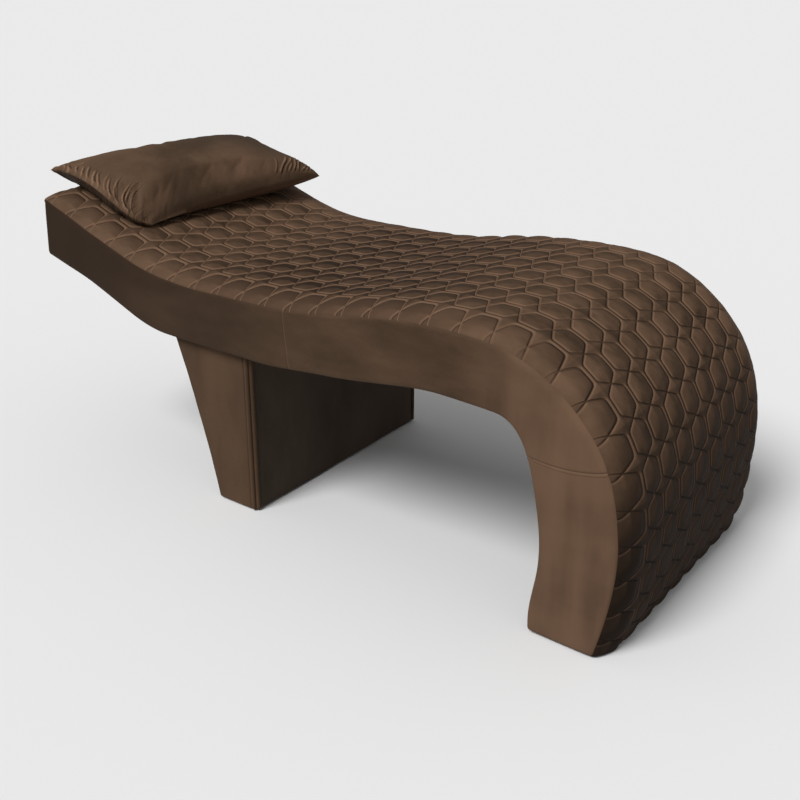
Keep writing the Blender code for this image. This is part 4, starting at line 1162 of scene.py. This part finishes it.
def plasticPaint(name, colour, scale):
    return grainPaint(name, {"Specular IOR Level": 0.4}, shade(colour, 0.8), shade(colour, 1.3),
                      (scale, 2.0, 0.5), (0.42, 0.2), (0.25, 0.0003))


def plywoodPaint():
    # long grain with a wavy figure through it
    paint = Paint("plywood", {"Specular IOR Level": 0.3})
    at = paint.place()
    grain = paint.noise(paint.stretch(at, (2, 40, 40)), 3.0, 5.0, 0.6)
    inputs = {"Vector": paint.stretch(at, (0.4, 4, 4)), "Scale": 5.0, "Distortion": 6.0, "Detail": 3.0}
    figure = paint.node("TexWave", {"bands_direction": "Y"}, inputs, 1)
    stops = (0.25, (0.46, 0.31, 0.17)), (0.55, (0.60, 0.44, 0.27)), (0.80, (0.70, 0.54, 0.36))
    paint.colour = paint.ramp(grain * 0.6 + figure * 0.4, stops)
    paint.rough = grain * 0.2 + 0.55
    paint.normal = paint.bump(grain, 0.3, 0.0008)
    return paint.close()


def finishNodes():
    paints = {
        "plywood": plywoodPaint(),
        "hardboard": grainPaint("hardboard", {"Specular IOR Level": 0.25}, (0.20, 0.12, 0.06),
                                (0.33, 0.21, 0.12), (180.0, 4.0, 0.7), (0.65, 0.2), (0.3, 0.0005)),
        "steel": metalPaint("zinc plate", (0.56, 0.56, 0.58), 0.25),
        "plastic": plasticPaint("glide plastic", (0.02, 0.02, 0.02), 700.0),
        "zip": plasticPaint("zip tape", (0.060, 0.040, 0.028), 1200.0),
        "zip_metal": metalPaint("antique brass", (0.26, 0.18, 0.10), 0.30),
    }
    slots = {part["node"]: part["material_slot"] for part in frame["record"]["subparts"]}
    for name, node in frame["nodes"].items():
        if not node.hide_render and slots[name] in paints:
            node.data.materials.clear()
            node.data.materials.append(paints[slots[name]].owner)
    print("carcass finishes")


# Stage, light and camera

stage = {
    "floorHalf": 60.0,
    "paper": 0.86,
    "paperForLight": 0.40,
    "backdrop": 0.96,
    "sunWay": (0.08, 0.62, -0.78),
    "sunStrength": 2.4,
    "sunAngle": math.radians(26),
    "zenith": 0.40,
    "horizon": 0.27,
    "skyRise": 0.9,
}

photoCamera = {
    "place": (2.4848, -2.13841, 1.45376),  # x from the head end
    "yaw": 0.636898,
    "pitch": 0.425563,
    "roll": 0.004615,
    "focalPixels": 1109.34,
    "framePixels": 800,
    "sensor": 36.0,
}


def floorAndLight():
    s, far = stage, stage["floorHalf"]
    mesh = bpy.data.meshes.new("floor")
    mesh.from_pydata([(-far, -far, 0), (far, -far, 0), (far, far, 0), (-far, far, 0)], [], [(0, 1, 2, 3)])
    floor = bpy.data.objects.new("floor", mesh)
    scene.collection.objects.link(floor)
    # the floor is pale to the eye and in reflections, and throws less light back on the bed
    paint = Paint("paper floor", {"Roughness": 0.9, "Specular IOR Level": 0.0})
    ray = paint.node("LightPath")
    seen = ray.atLeast(ray.out("Is Glossy Ray")).atLeast(ray.out("Is Transmission Ray"))
    tone = seen * (s["paper"] - s["paperForLight"]) + s["paperForLight"]
    paint.feed("Base Color", paint.node("CombineColor", None, {0: tone, 1: tone, 2: tone}))
    mesh.materials.append(paint.owner)
    # the sky is brighter overhead, and where the camera sees it, it is as pale as the floor
    sky = Paint("studio", {"Color": (1, 1, 1, 1)}, bpy.data.worlds.new("studio"), "Background")
    scene.world = sky.owner
    height = sky.node("SeparateXYZ", None, {0: sky.place("Generated")}).out("Z")
    glow = sky.node("MapRange", None, {"Value": height, "From Min": 0.0, "From Max": s["skyRise"],
                                       "To Min": s["horizon"], "To Max": s["zenith"]})
    shown = {0: sky.node("LightPath"), 2: glow, 3: s["paper"] * s["backdrop"]}
    sky.feed("Strength", sky.node("Mix", None, shown))
    sun = bpy.data.lights.new("sun", "SUN")
    sun.energy = s["sunStrength"]
    sun.angle = s["sunAngle"]
    lamp = bpy.data.objects.new("sun", sun)
    scene.collection.objects.link(lamp)
    away = -np.array(s["sunWay"]) / np.linalg.norm(s["sunWay"])
    side = np.cross((0, 1, 0), away)
    side /= np.linalg.norm(side)
    lamp.matrix_world = Matrix(np.column_stack([side, np.cross(away, side), away]).tolist()).to_4x4()


def cameraAtPhoto():
    c = photoCamera
    data = bpy.data.cameras.new("photo camera")
    data.sensor_width = c["sensor"]
    data.lens = c["focalPixels"] / c["framePixels"] * c["sensor"]
    camera = bpy.data.objects.new("photo camera", data)
    scene.collection.objects.link(camera)
    right = np.array([math.cos(c["yaw"]), math.sin(c["yaw"]), 0])
    ahead = np.array([-math.sin(c["yaw"]) * math.cos(c["pitch"]), math.cos(c["yaw"]) * math.cos(c["pitch"]),
                      -math.sin(c["pitch"])])
    up = np.cross(right, ahead)
    turned = math.cos(c["roll"]) * right + math.sin(c["roll"]) * up
    lifted = math.cos(c["roll"]) * up - math.sin(c["roll"]) * right
    matrix = Matrix(np.column_stack([turned, lifted, -ahead]).tolist()).to_4x4()
    matrix.translation = np.array(c["place"]) + (headX, 0, 0)
    camera.matrix_world = matrix
    scene.camera = camera


cameraAtPhoto()
floorAndLight()
quiltedTop()
velvetSides = sidePaint()
sideCover("near", -1, velvetSides)
sideCover("far", 1, velvetSides)
headEnd()
underside()
pedestalCovers()
foamPad()
pillowPieces()
finishNodes()
